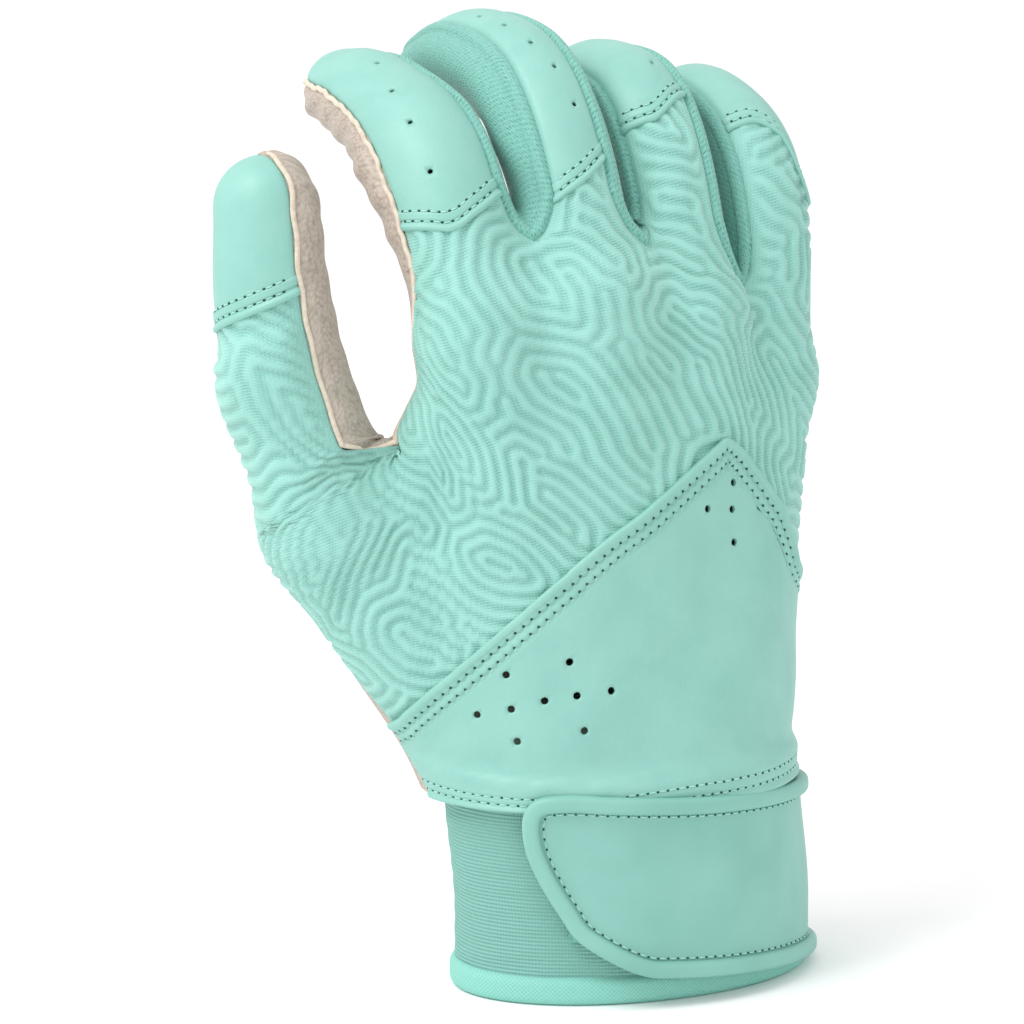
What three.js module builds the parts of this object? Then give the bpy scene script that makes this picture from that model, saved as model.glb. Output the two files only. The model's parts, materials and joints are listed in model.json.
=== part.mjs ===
// Right-hand batting glove, standing on its cuff as if a relaxed hand filled it.
// Millimetres. +Z runs from the cuff to the fingers, the back of the hand faces -Y,
// the thumb is on the -X side, and the origin is the middle of the cuff's opening.
import * as THREE from 'three';

// Walls and clearances
const WALL = 1.2;              // leather and stretch fabric
const HEM_WALL = 1.7;          // folded edge of each finger cap
const SEAM = 0.36;             // gap between two panels at a seam
const LAYER_GAP = 0.3;         // between stacked layers at the wrist
const HAND_GAP = 0.8;          // between the cuff and the hand's panels that lap over it

// Cuff, an oval band that is open at the little finger's side
const CUFF_HALF_WIDTH = 38.6;
const CUFF_HALF_DEPTH = 25.2;
const CUFF_WALL = 1.5;
const CUFF_TOP = 45;
const BINDING_HEIGHT = 6;
const BINDING_PROUD = 1.2;     // how far the binding stands out from the cuff
const SLIT_WIDTH = 2.0;        // the slit that lets the hand in
const TRIM_WALL = 1.6;         // bound edge of the slit above the cuff
const CUFF_LAP = 3;            // the hand's panels lap this far down over the cuff
const HAND_BOTTOM = CUFF_TOP - CUFF_LAP;

// Strap, which crosses the slit and closes over the back of the wrist
const STRAP_WALL = 2.2;
const STRAP_EDGE_WALL = 3.0;
const STRAP_EDGE_WIDTH = 3.6;
const STRAP_BOTTOM = 5.8;      // at the middle of the back
const STRAP_TOP = 44.4;
const STRAP_FALL_SHARE = 0.09; // the strap drops this much for each length towards the slit
const STRAP_REACH = 30.5;      // along the cuff, from the middle of the back to the tab's end
const STRAP_CORNER = 6;
const STRAP_SLOPE = 15;        // how far the tab's lower corner is drawn back
const HOOK_WALL = 0.8;
const HOOK_LENGTH = 26;
const LOOP_WALL = 0.8;
const LOOP_LENGTH = 46;
const PATCH_INSET = 5;         // hook and loop patches stay this far inside the strap's edge
const ANCHOR_LENGTH = 22;      // sewn end of the strap, on the palm's side of the slit
const ANCHOR_DROP_SHARE = 0.5; // it is down on the cuff after this share of its length

// The hand that the glove is cut for. Its knuckles, bones and girths, and the heights of each
// cap's hem above the knuckle, are shares of its length. pitch leans a bone from +Z towards the
// palm and splay leans it towards +X. back, rightSide and leftSide are the angles round a digit
// where its panels meet, from the back towards +X. Angles are in degrees. socket is how much
// more girth than a digit's root the hollow of the hand's shell has there.
const HAND_LENGTH = 200;       // wrist crease to the middle finger's tip
const FINGER_SOCKET = 0.9;
const RING_SOCKET = 0.4;
const PINKY_SOCKET = 1.2;
const THUMB_SOCKET = -0.5;     // its root is rounded tighter than the shell's blended skin
const DIGIT_TABLE = {
  index: {
    knuckleShares: [-0.165, 0.015, 0.685], boneShares: [0.195, 0.135, 0.095],
    girthShares: [0.054, 0.058, 0.0565, 0.05], pitch: [20, 75, 96],
    splay: [-3.5, -4, -6], back: [-77, 33], rightSide: 95, leftSide: null,
    hemShares: [0.105, 0.135], socket: FINGER_SOCKET,
  },
  middle: {
    knuckleShares: [-0.044, 0, 0.71], boneShares: [0.225, 0.145, 0.085],
    girthShares: [0.056, 0.0565, 0.055, 0.05], pitch: [26, 82, 118],
    splay: [-0.8, -0.4, 0], back: [-66, 28], rightSide: 92, leftSide: -122,
    hemShares: [0.125, 0.185], socket: FINGER_SOCKET,
  },
  ring: {
    knuckleShares: [0.074, 0.015, 0.685], boneShares: [0.215, 0.14, 0.085],
    girthShares: [0.053, 0.054, 0.0525, 0.047], pitch: [23, 84, 120],
    splay: [0.6, 0, 0], back: [-60, 33], rightSide: 96, leftSide: -116,
    hemShares: [0.175, 0.205], socket: RING_SOCKET,
  },
  pinky: {
    knuckleShares: [0.1875, 0.035, 0.615], boneShares: [0.21, 0.135, 0.08],
    girthShares: [0.049, 0.052, 0.051, 0.045], pitch: [12, 68, 104],
    splay: [3, 1, -2], back: [-38, 108], rightSide: null, leftSide: -104,
    hemShares: [0.2, 0.155], socket: PINKY_SOCKET,
  },
  thumb: {
    knuckleShares: [-0.28, 0.09, 0.485], boneShares: [0.205, 0.135],
    girthShares: [0.074, 0.067, 0.0565], pitch: [6, 6],
    splay: [-20, 2], back: [-168, 8], rightSide: null, leftSide: null,
    hemShares: [0.165, 0.195], socket: THUMB_SOCKET,
  },
};
const HEM_WIDTH = 5.2;
const ROOT_ANGLE = 50;         // how far each root dome goes on inside the hand
const TIP_ANGLE = 86;          // the panels meet at the tip, short of the pole
const FULL_TURN = 360;

// Palm bones: each runs from the wrist to a knuckle and sets the hand's thickness
const WRIST_RISE = 1;          // the palm bones start this far above the cuff
const WRIST_Z = CUFF_TOP + WRIST_RISE;
const WRIST_NARROWING = 3.2;   // the wrist is this much thinner than the cuff
const WRIST_GIRTH = CUFF_HALF_DEPTH - WRIST_NARROWING;
const WRIST_PLACE_SHARES = {
  index: [-0.07, 0.005], middle: [-0.025, 0], ring: [0.03, 0], pinky: [0.075, 0.005],
};
const THENAR_BASE_SHARES = [-0.13, 0.04, 0.27];
const THENAR_THINNING = 5.7;   // the ball of the thumb is this much thinner than the cuff
const THENAR_GIRTH = CUFF_HALF_DEPTH - THENAR_THINNING;
const PALM_BLEND = 12;         // how softly the palm bones run into one another
const THENAR_BLEND = 16;
const CUFF_BLEND = 5;
const CUFF_SWELL = 0.6;        // the hand's skin stands out this much where it meets the cuff

// Where the back's fabric ends and the smooth wrist panel begins
const PEAK_SHARES = [0.135, 0.56];  // across from the middle of the cuff, and up
const WRIST_PANEL_LEFT = 9;    // above the cuff, at the thumb's side
const WRIST_PANEL_RIGHT = 41;  // above the cuff, at the little finger's side
const BACK_RIM_RISE = 1.5;     // the back reaches this far above each knuckle's centre
const PALM_RIM_DROP = 9;       // the palm stops this far below it

// How each panel of the hand passes the thumb's root on its way up to the web: it starts below
// the root's centre and climbs by shares of the hand's length. Each step gives a share of the
// climb, a share of the way from the thumb's root to the index finger's, and the edge's angle.
const BACK_WEB = {
  dropShare: 0.025, riseShare: 0.11,
  stepShares: [[0.08, 0.08, -12], [0.35, 0.35, -18], [0.75, 0.75, -70]],
};
const PALM_WEB = {
  dropShare: 0.06, riseShare: 0.165,
  stepShares: [[0.06, 0.2, -12], [0.25, 0.85, -15], [0.62, 1, -20], [0.85, 1, -45]],
};

// Angles round the hand's sides, from the back towards +X, in degrees
const SQUARE_ANGLE = 90;
const SIDE_ANGLE = 89;         // a back or palm panel ends just short of square
const TRIM_ANGLES = [79, 86];  // the slit's bound edge lies between these

const rad = THREE.MathUtils.degToRad;
const lerp = THREE.MathUtils.lerp;
const vec = (place) => new THREE.Vector3(place.x, place.y, place.z);
const sized = (shares) => shares.map((share) => share * HAND_LENGTH);
const placed = ([x, y, z]) => ({ x, y, z });
const DIGITS = {};
Object.entries(DIGIT_TABLE).forEach(([name, row]) => {
  DIGITS[name] = {
    ...row,
    knuckle: placed(sized(row.knuckleShares)),
    bones: sized(row.boneShares),
    girth: sized(row.girthShares),
    hem: sized(row.hemShares),
  };
});
const WRIST_PLACES = {};
Object.entries(WRIST_PLACE_SHARES).forEach(([name, shares]) => {
  WRIST_PLACES[name] = placed([...sized(shares), WRIST_Z]);
});
const THENAR_BASE = placed(sized(THENAR_BASE_SHARES));
const [PEAK_X, PEAK_Z] = sized(PEAK_SHARES);
const WRIST_PANEL_LEFT_Z = CUFF_TOP + WRIST_PANEL_LEFT;
const WRIST_PANEL_RIGHT_Z = CUFF_TOP + WRIST_PANEL_RIGHT;

// One bone's direction from its pitch and splay
function boneDirection(pitch, splay) {
  const flat = Math.cos(rad(splay));
  return new THREE.Vector3(Math.sin(rad(splay)), Math.sin(rad(pitch)) * flat, Math.cos(rad(pitch)) * flat);
}

// Centre line of a digit: straight along its bones, with each joint rounded by a quadratic curve
function centreLine(digit) {
  const joints = [vec(digit.knuckle)];
  digit.bones.forEach((length, i) => {
    joints.push(boneDirection(digit.pitch[i], digit.splay[i]).multiplyScalar(length).add(joints[i]));
  });
  const middles = digit.bones.map((_, i) => joints[i].clone().lerp(joints[i + 1], 0.5));
  const line = new THREE.CurvePath();
  line.add(new THREE.LineCurve3(joints[0], middles[0]));
  for (let i = 1; i < digit.bones.length; i += 1) {
    line.add(new THREE.QuadraticBezierCurve3(middles[i - 1], joints[i], middles[i]));
  }
  line.add(new THREE.LineCurve3(middles[middles.length - 1], joints[joints.length - 1]));
  return line;
}

// Girth at a share of the centre line, smooth between the joints' own values
function girthAt(digit, share) {
  const total = digit.bones.reduce((sum, length) => sum + length);
  let start = 0;
  for (let i = 0; i < digit.bones.length; i += 1) {
    const end = start + digit.bones[i] / total;
    if (share <= end || i === digit.bones.length - 1) {
      const part = Math.min((share - start) / (end - start), 1);
      return lerp(digit.girth[i], digit.girth[i + 1], THREE.MathUtils.smoothstep(part, 0, 1));
    }
    start = end;
  }
  return digit.girth[0];
}

// Closed solid from a sheet: place(u, v) gives an outer point and the direction of its wall
function sheetSolid(place, us, vs, wall) {
  const columns = us.length;
  const rows = vs.length;
  const positions = [];
  const outer = [];
  const inner = [];
  for (let j = 0; j < rows; j += 1) {
    for (let i = 0; i < columns; i += 1) {
      const { point, inward } = place(us[i], vs[j]);
      outer.push(point);
      inner.push(point.clone().addScaledVector(inward, wall));
    }
  }
  [...outer, ...inner].forEach((point) => positions.push(point.x, point.y, point.z));
  const at = (i, j, side) => side * columns * rows + j * columns + i;
  const faces = [];
  const quad = (a, b, c, d) => faces.push(a, b, c, a, c, d);
  for (let j = 0; j < rows - 1; j += 1) {
    for (let i = 0; i < columns - 1; i += 1) {
      quad(at(i, j, 0), at(i + 1, j, 0), at(i + 1, j + 1, 0), at(i, j + 1, 0));
      quad(at(i, j, 1), at(i, j + 1, 1), at(i + 1, j + 1, 1), at(i + 1, j, 1));
    }
  }
  for (let i = 0; i < columns - 1; i += 1) {
    quad(at(i, 0, 0), at(i, 0, 1), at(i + 1, 0, 1), at(i + 1, 0, 0));
    quad(at(i, rows - 1, 0), at(i + 1, rows - 1, 0), at(i + 1, rows - 1, 1), at(i, rows - 1, 1));
  }
  for (let j = 0; j < rows - 1; j += 1) {
    quad(at(0, j, 0), at(0, j + 1, 0), at(0, j + 1, 1), at(0, j, 1));
    quad(at(columns - 1, j, 0), at(columns - 1, j, 1), at(columns - 1, j + 1, 1), at(columns - 1, j + 1, 0));
  }
  return outwardGeometry(positions, faces);
}

// Buffer geometry whose faces point out, whichever way its sheet was laid
function outwardGeometry(positions, faces) {
  const corner = (k) => new THREE.Vector3().fromArray(positions, 3 * faces[k]);
  let volume = 0;
  for (let k = 0; k < faces.length; k += 3) {
    volume += corner(k).dot(corner(k + 1).cross(corner(k + 2)));
  }
  if (volume < 0) {
    for (let k = 0; k < faces.length; k += 3) [faces[k], faces[k + 1]] = [faces[k + 1], faces[k]];
  }
  const geometry = new THREE.BufferGeometry();
  geometry.setAttribute('position', new THREE.Float32BufferAttribute(positions, 3));
  geometry.setIndex(faces);
  geometry.computeVertexNormals();
  return geometry;
}

const steps = (from, to, count) => Array.from({ length: count + 1 }, (_, i) => lerp(from, to, i / count));

// A digit's skin: around is the angle from the back of the finger towards +X,
// along is the length from the knuckle, negative on the root dome and past the end on the tip
function digitSkin(digit) {
  const line = centreLine(digit);
  const length = line.getLength();
  const rootReach = digit.girth[0] * rad(ROOT_ANGLE);
  const tipReach = digit.girth[digit.girth.length - 1] * rad(TIP_ANGLE);
  const point = (around, along, lift = 0) => {
    const share = THREE.MathUtils.clamp(along / length, 0, 1);
    const girth = girthAt(digit, share) + lift;
    const tangent = line.getTangentAt(share);
    const across = new THREE.Vector3(1, 0, 0).addScaledVector(tangent, -tangent.x).normalize();
    const back = across.clone().cross(tangent);
    const out = back.multiplyScalar(Math.cos(rad(around))).addScaledVector(across, Math.sin(rad(around)));
    let turn = 0;
    if (along < 0) turn = along / digit.girth[0];
    if (along > length) turn = (along - length) / digit.girth[digit.girth.length - 1];
    out.multiplyScalar(Math.cos(turn)).addScaledVector(tangent, Math.sin(turn));
    return { point: line.getPointAt(share).addScaledVector(out, girth), inward: out.clone().negate() };
  };
  return { point, length, rootReach, tipReach };
}

// One panel of a digit between two angles and two lengths, each length a function of the angle
function digitPanel(digit, skin, angles, from, to, cells, rows, lift, wall) {
  const halfSeam = THREE.MathUtils.radToDeg(SEAM / 2 / (digit.girth[digit.girth.length - 1] - wall));
  const us = steps(angles[0] + halfSeam, angles[1] - halfSeam, cells);
  const place = (u, v) => skin.point(u, lerp(from(u), to(u), v), lift);
  return sheetSolid(place, us, steps(0, 1, rows), wall);
}

// Signed distances that the hand's own skin is built from
function roundConeDistance(p, a, b, girthA, girthB) {
  const bone = b.clone().sub(a);
  const share = THREE.MathUtils.clamp(p.clone().sub(a).dot(bone) / bone.lengthSq(), 0, 1);
  return p.distanceTo(a.clone().addScaledVector(bone, share)) - lerp(girthA, girthB, share);
}
function blendMin(a, b, softness) {
  const overlap = Math.max(softness - Math.abs(a - b), 0) / softness;
  return Math.min(a, b) - overlap * overlap * softness / 4;
}
const FINGER_NAMES = Object.keys(WRIST_PLACES);
const CUFF_OUT = HAND_GAP + WALL;
const thumbAxis = boneDirection(DIGITS.thumb.pitch[0], DIGITS.thumb.splay[0]);
function handDistance(p, rounded) {
  let distance = null;
  FINGER_NAMES.forEach((name) => {
    const digit = DIGITS[name];
    const wrist = vec(WRIST_PLACES[name]);
    const socketGirth = digit.girth[0] + digit.socket + WALL;
    const bone = roundConeDistance(p, wrist, vec(digit.knuckle), WRIST_GIRTH, socketGirth);
    distance = distance === null ? bone : blendMin(distance, bone, PALM_BLEND);
  });
  const thumbGirth = DIGITS.thumb.girth[0] + DIGITS.thumb.socket + WALL;
  const thumbRoot = vec(DIGITS.thumb.knuckle);
  const thenar = roundConeDistance(p, vec(THENAR_BASE), thumbRoot, THENAR_GIRTH, thumbGirth);
  const pastRoot = rounded ? thenar : p.clone().sub(thumbRoot).dot(thumbAxis);
  distance = blendMin(distance, Math.max(thenar, pastRoot), THENAR_BLEND);
  const depth = CUFF_HALF_DEPTH + CUFF_OUT;
  const oval = (Math.hypot(p.x / (CUFF_HALF_WIDTH + CUFF_OUT), p.y / depth) - 1) * depth;
  return blendMin(distance, Math.max(oval, p.z - CUFF_TOP - WALL), CUFF_BLEND);
}

// Steps outward from a point inside the hand until the skin is reached.
// The back runs up round the thumb's root; the palm's skin stops square across it.
const MARCH_STEP = 1.5;
const MARCH_LIMIT = 60;
const HALVINGS = 20;
function handSkin(start, out, rounded) {
  let near = 0;
  let far = 0;
  while (far < MARCH_LIMIT && handDistance(start.clone().addScaledVector(out, far), rounded) < 0) {
    near = far;
    far += MARCH_STEP;
  }
  for (let i = 0; i < HALVINGS; i += 1) {
    const half = (near + far) / 2;
    if (handDistance(start.clone().addScaledVector(out, half), rounded) < 0) near = half;
    else far = half;
  }
  return { point: start.clone().addScaledVector(out, (near + far) / 2), inward: out.clone().negate() };
}

// Straight pieces between rows of [key, values...]
function along(table, key) {
  const last = table.length - 1;
  if (key <= table[0][0]) return table[0].slice(1);
  for (let i = 0; i < last; i += 1) {
    if (key <= table[i + 1][0]) {
      const part = (key - table[i][0]) / (table[i + 1][0] - table[i][0]);
      return table[i].slice(1).map((value, n) => lerp(value, table[i + 1][n + 1], part));
    }
  }
  return table[last].slice(1);
}

// The hand's mid sheet runs between a left and a right guide. The left one follows the thumb's
// bone, steps over the thumb's root to the web, and goes on up the index finger's side.
// Each row holds a height, a place and the angle at which the panel's edge leaves the sheet.
const thumbKnuckle = DIGITS.thumb.knuckle;
const indexKnuckle = DIGITS.index.knuckle;
const pinkyKnuckle = DIGITS.pinky.knuckle;
function thenarPlace(z) {
  const share = (z - THENAR_BASE.z) / (thumbKnuckle.z - THENAR_BASE.z);
  return [lerp(THENAR_BASE.x, thumbKnuckle.x, share), lerp(THENAR_BASE.y, thumbKnuckle.y, share)];
}
function leftGuide({ dropShare, riseShare, stepShares }) {
  const rimZ = thumbKnuckle.z - dropShare * HAND_LENGTH;
  const topZ = rimZ + riseShare * HAND_LENGTH;
  const lowZ = rimZ - BACK_WEB.riseShare * HAND_LENGTH / 2;
  const webSteps = stepShares.map(([climb, way, angle]) => [
    lerp(rimZ, topZ, climb), lerp(thumbKnuckle.x, indexKnuckle.x, way),
    lerp(thumbKnuckle.y, indexKnuckle.y, way), angle,
  ]);
  return [
    [HAND_BOTTOM, WRIST_PLACES.index.x, WRIST_PLACES.index.y, -SQUARE_ANGLE],
    [THENAR_BASE.z, ...thenarPlace(THENAR_BASE.z), -SQUARE_ANGLE],
    [lowZ, ...thenarPlace(lowZ), -SQUARE_ANGLE],
    ...webSteps,
    [topZ, indexKnuckle.x, indexKnuckle.y, -SQUARE_ANGLE],
    [indexKnuckle.z, indexKnuckle.x, indexKnuckle.y, -SQUARE_ANGLE],
  ];
}
const backGuide = leftGuide(BACK_WEB);
const palmGuide = leftGuide(PALM_WEB);
const rightGuide = [
  [HAND_BOTTOM, WRIST_PLACES.pinky.x, WRIST_PLACES.pinky.y],
  [WRIST_Z, WRIST_PLACES.pinky.x, WRIST_PLACES.pinky.y],
  [pinkyKnuckle.z, pinkyKnuckle.x, pinkyKnuckle.y],
];

// A panel of the hand: across runs 0 to 1 from the left guide to the right one
const EDGE_SHARE = 0.2;        // the part of the panel that turns round each side
function handPanelPlace(guide, side, rightAngle, lift) {
  return (across, z) => {
    const [leftX, leftY, leftAngle] = along(guide, z);
    const [rightX, rightY] = along(rightGuide, z);
    const inner = THREE.MathUtils.clamp((across - EDGE_SHARE / 2) / (1 - EDGE_SHARE), 0, 1);
    const start = new THREE.Vector3(lerp(leftX, rightX, inner), lerp(leftY, rightY, inner), z);
    const leftTurn = Math.max(0, 1 - across / EDGE_SHARE);
    const rightTurn = Math.max(0, 1 - (1 - across) / EDGE_SHARE);
    const angle = (leftAngle + SQUARE_ANGLE - SIDE_ANGLE) * leftTurn + rightAngle * rightTurn;
    return handSide(start, side, angle, lift);
  };
}
// The skin seen from a place on the mid sheet, on the back (side 1) or the palm (side -1)
function handSide(start, side, angle, lift) {
  const out = new THREE.Vector3(Math.sin(rad(angle)), -side * Math.cos(rad(angle)), 0);
  const skin = handSkin(start, out, side > 0);
  skin.point.addScaledVector(out, lift);
  return skin;
}

// Height of the top edge across the hand, through the four knuckles
function knuckleLine(offset) {
  const span = pinkyKnuckle.x - indexKnuckle.x;
  const table = FINGER_NAMES.map((name) => {
    const { x, z } = DIGITS[name].knuckle;
    return [(x - indexKnuckle.x) / span * (1 - EDGE_SHARE) + EDGE_SHARE / 2, z + offset];
  });
  return (across) => along(table, across)[0];
}
const peakShare = (PEAK_X - indexKnuckle.x) / (pinkyKnuckle.x - indexKnuckle.x);
const seamTable = [[0, WRIST_PANEL_LEFT_Z], [peakShare, PEAK_Z], [1, WRIST_PANEL_RIGHT_Z]];
const backSeam = (across) => along(seamTable, across)[0];

const edgeShares = [0, 0.05, 0.1, 0.15, 0.2];
const rightEdgeShares = edgeShares.map((share) => 1 - share).reverse();
const columnShares = [...edgeShares, ...steps(0.28, 0.72, 6), ...rightEdgeShares];
const rowShares = [0, 0.14, 0.28, 0.38, 0.44, 0.49, 0.54, 0.6, 0.68, 0.78, 0.87, 0.94, 0.97, 1];
const wristRowShares = [0, 0.12, 0.28, 0.5, 0.75, 1];

// A panel's lowest row laps down over the cuff; the others start just above the cuff's top
const LAP_ROW = -1;
const overCuff = (v, high) => (v === LAP_ROW ? HAND_BOTTOM : lerp(CUFF_TOP + LAYER_GAP, high, v));
function handPanel(guide, side, rightAngle, heights, shares) {
  const place = handPanelPlace(guide, side, rightAngle, 0);
  return sheetSolid((u, v) => place(u, heights(u, v)), columnShares, shares, WALL);
}

// Bound edge of the slit, up the little finger's side of the wrist panel
function slitTrim() {
  const top = WRIST_PANEL_RIGHT_Z - SEAM;
  const place = (angle, v) => {
    const z = overCuff(v, top);
    const [x, y] = along(rightGuide, z);
    return handSide(new THREE.Vector3(x, y, z), 1, angle, TRIM_WALL - WALL);
  };
  return sheetSolid(place, steps(...TRIM_ANGLES, 2), [LAP_ROW, ...wristRowShares], TRIM_WALL);
}

// Oval of the cuff: turn is the angle from the middle of the back towards +X, lift is outward
function ovalPoint(turn, z, lift) {
  const out = new THREE.Vector3(
    Math.sin(rad(turn)) / CUFF_HALF_WIDTH, -Math.cos(rad(turn)) / CUFF_HALF_DEPTH, 0,
  ).normalize();
  const point = new THREE.Vector3(
    CUFF_HALF_WIDTH * Math.sin(rad(turn)), -CUFF_HALF_DEPTH * Math.cos(rad(turn)), z,
  ).addScaledVector(out, lift);
  return { point, inward: out.negate() };
}
// Turn of the oval that lies a given arc length from the middle of the back
const TURN_TICK = 0.5;
function turnAt(arc) {
  let turn = 0;
  let left = Math.abs(arc);
  while (left > 0) {
    const here = ovalPoint(turn, 0, 0).point;
    const step = here.distanceTo(ovalPoint(turn + TURN_TICK, 0, 0).point);
    if (step > left) return Math.sign(arc) * (turn + TURN_TICK * left / step);
    left -= step;
    turn += TURN_TICK;
  }
  return 0;
}
const slitHalfTurn = THREE.MathUtils.radToDeg(SLIT_WIDTH / 2 / CUFF_HALF_DEPTH);
const slitArc = (() => {
  let arc = 0;
  for (let turn = 0; turn < SQUARE_ANGLE; turn += 1) {
    arc += ovalPoint(turn, 0, 0).point.distanceTo(ovalPoint(turn + 1, 0, 0).point);
  }
  return arc;
})();

function band(low, high, lift, wall, columns) {
  const turns = steps(SQUARE_ANGLE + slitHalfTurn, SQUARE_ANGLE + FULL_TURN - slitHalfTurn, columns);
  return sheetSolid((turn, z) => ovalPoint(turn, z, lift), turns, [low, high], wall);
}

// Layers at the wrist, each worked out from the one below it
const loopLift = LAYER_GAP + LOOP_WALL;
const hookLift = loopLift + LAYER_GAP + HOOK_WALL;
const strapLift = Math.max(hookLift, CUFF_OUT + CUFF_SWELL) + LAYER_GAP + STRAP_WALL;
const edgeLift = strapLift + (STRAP_EDGE_WALL - STRAP_WALL);

// Left end of the strap at a height: a slanted edge with its corners drawn in
function tabEnd(z, inset) {
  const low = STRAP_BOTTOM + inset;
  const high = STRAP_TOP - inset;
  const share = THREE.MathUtils.clamp((z - low) / (high - low), 0, 1);
  const slant = STRAP_SLOPE * (1 - share) * (1 - share);
  const topCorner = Math.max(0, STRAP_CORNER - (high - z)) / STRAP_CORNER;
  return -STRAP_REACH + inset + slant + STRAP_CORNER * (1 - Math.sqrt(1 - topCorner * topCorner)) / 2;
}
const strapRootArc = slitArc + SLIT_WIDTH / 2 + SEAM;
const strapFall = (arc) => STRAP_FALL_SHARE * Math.min(arc, slitArc);
const strapPoint = (arc, z, lift) => ovalPoint(turnAt(arc), z - strapFall(arc), lift);
function strapPanel() {
  const inset = STRAP_EDGE_WIDTH + SEAM;
  const place = (u, v) => {
    const z = lerp(STRAP_BOTTOM + inset, STRAP_TOP - inset, v);
    return strapPoint(lerp(tabEnd(z, inset), strapRootArc, u), z, strapLift);
  };
  return sheetSolid(place, steps(0, 1, 14), steps(0, 1, 4), STRAP_WALL);
}

// Rolled edge round the strap: along its top, round the tab and back along its bottom
function strapEdge() {
  const side = steps(0, 1, 7).map((v) => lerp(STRAP_BOTTOM, STRAP_TOP, v));
  const low = tabEnd(STRAP_BOTTOM, 0);
  const high = tabEnd(STRAP_TOP, 0);
  const runs = 10;
  const route = [
    ...steps(strapRootArc, low, runs).slice(0, runs).map((arc) => ({ arc, z: STRAP_BOTTOM })),
    ...side.map((z) => ({ arc: tabEnd(z, 0), z })),
    ...steps(high, strapRootArc, runs).slice(1).map((arc) => ({ arc, z: STRAP_TOP })),
  ];
  const inside = route.map(({ arc, z }) => {
    const innerZ = THREE.MathUtils.clamp(z, STRAP_BOTTOM + STRAP_EDGE_WIDTH, STRAP_TOP - STRAP_EDGE_WIDTH);
    const onEnd = z > STRAP_BOTTOM && z < STRAP_TOP;
    const innerEnd = tabEnd(innerZ, STRAP_EDGE_WIDTH);
    return { arc: onEnd ? innerEnd : Math.max(arc, innerEnd), z: innerZ };
  });
  const place = (k, v) => {
    const i = Math.round(k);
    const arc = lerp(route[i].arc, inside[i].arc, v);
    return strapPoint(arc, lerp(route[i].z, inside[i].z, v), edgeLift);
  };
  return sheetSolid(place, route.map((_, i) => i), [0, 1], STRAP_EDGE_WALL);
}

// Hook or loop patch between the strap and the cuff, from just inside the tab's end
function patch(length, lift, wall) {
  const start = -STRAP_REACH + STRAP_SLOPE / 2 + PATCH_INSET;
  const heights = [STRAP_BOTTOM + PATCH_INSET, STRAP_TOP - PATCH_INSET];
  return sheetSolid((arc, z) => strapPoint(arc, z, lift), steps(start, start + length, 10), heights, wall);
}

// Fixed end of the strap: it comes down from the strap's level to the cuff
function strapAnchor() {
  const place = (u, z) => {
    const drop = THREE.MathUtils.smoothstep(u, 0, ANCHOR_DROP_SHARE);
    const lift = lerp(strapLift, LAYER_GAP + STRAP_WALL, drop);
    return strapPoint(strapRootArc + SEAM + u * ANCHOR_LENGTH, z, lift);
  };
  const low = BINDING_HEIGHT + SEAM + strapFall(slitArc);
  return sheetSolid(place, steps(0, 1, 6), [low, STRAP_TOP], STRAP_WALL);
}

// Finishes
const finishes = {
  stretchFabric: { color: 0x9ad4c8, roughness: 0.85 },
  smoothLeather: { color: 0xa6dcd1, roughness: 0.55 },
  sideMesh: { color: 0x86c3b6, roughness: 0.9 },
  palmLeather: { color: 0xd8cfc3, roughness: 0.7 },
  ribbedElastic: { color: 0x84c0b4, roughness: 0.9 },
  tape: { color: 0x8fcabd, roughness: 0.8 },
  mouldedStrap: { color: 0x96d0c4, roughness: 0.5 },
  hookAndLoop: { color: 0x6fae9f, roughness: 0.95 },
};
const group = new THREE.Group();
function add(name, geometry, finish) {
  const material = new THREE.MeshStandardMaterial({ ...finishes[finish], metalness: 0 });
  const mesh = new THREE.Mesh(geometry, material);
  mesh.name = name;
  group.add(mesh);
}

// Digits: sleeve of fabric, hem, cap, mesh sides and a leather front
const CELL_ANGLE = 32;
Object.entries(DIGITS).forEach(([name, digit]) => {
  const skin = digitSkin(digit);
  const [left, right] = digit.back;
  const hemLow = (u) => lerp(digit.hem[0], digit.hem[1], (u - left) / (right - left));
  const hemHigh = (u) => hemLow(u) + HEM_WIDTH;
  const root = () => -skin.rootReach;
  const tip = () => skin.length + skin.tipReach;
  const panel = (angles, from, to, rows, lift = 0, wall = WALL) => digitPanel(
    digit, skin, angles, from, to, Math.ceil((angles[1] - angles[0]) / CELL_ANGLE), rows, lift, wall,
  );
  const hemLift = HEM_WALL - WALL;
  add(`${name}_sleeve`, panel([left, right], root, (u) => hemLow(u) - SEAM, 6), 'stretchFabric');
  add(`${name}_hem`, panel([left, right], hemLow, hemHigh, 1, hemLift, HEM_WALL), 'smoothLeather');
  add(`${name}_cap`, panel([left, right], (u) => hemHigh(u) + SEAM, tip, 8), 'smoothLeather');
  const sideRows = 13;
  const frontLeft = digit.leftSide === null ? left : digit.leftSide;
  const frontRight = digit.rightSide === null ? right : digit.rightSide;
  if (digit.leftSide !== null) {
    add(`${name}_left_mesh`, panel([frontLeft, left], root, tip, sideRows), 'sideMesh');
  }
  if (digit.rightSide !== null) {
    add(`${name}_right_mesh`, panel([right, frontRight], root, tip, sideRows), 'sideMesh');
  }
  const front = [frontRight, frontLeft + FULL_TURN];
  add(`${name}_front_leather`, panel(front, root, tip, sideRows), 'palmLeather');
});

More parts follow.
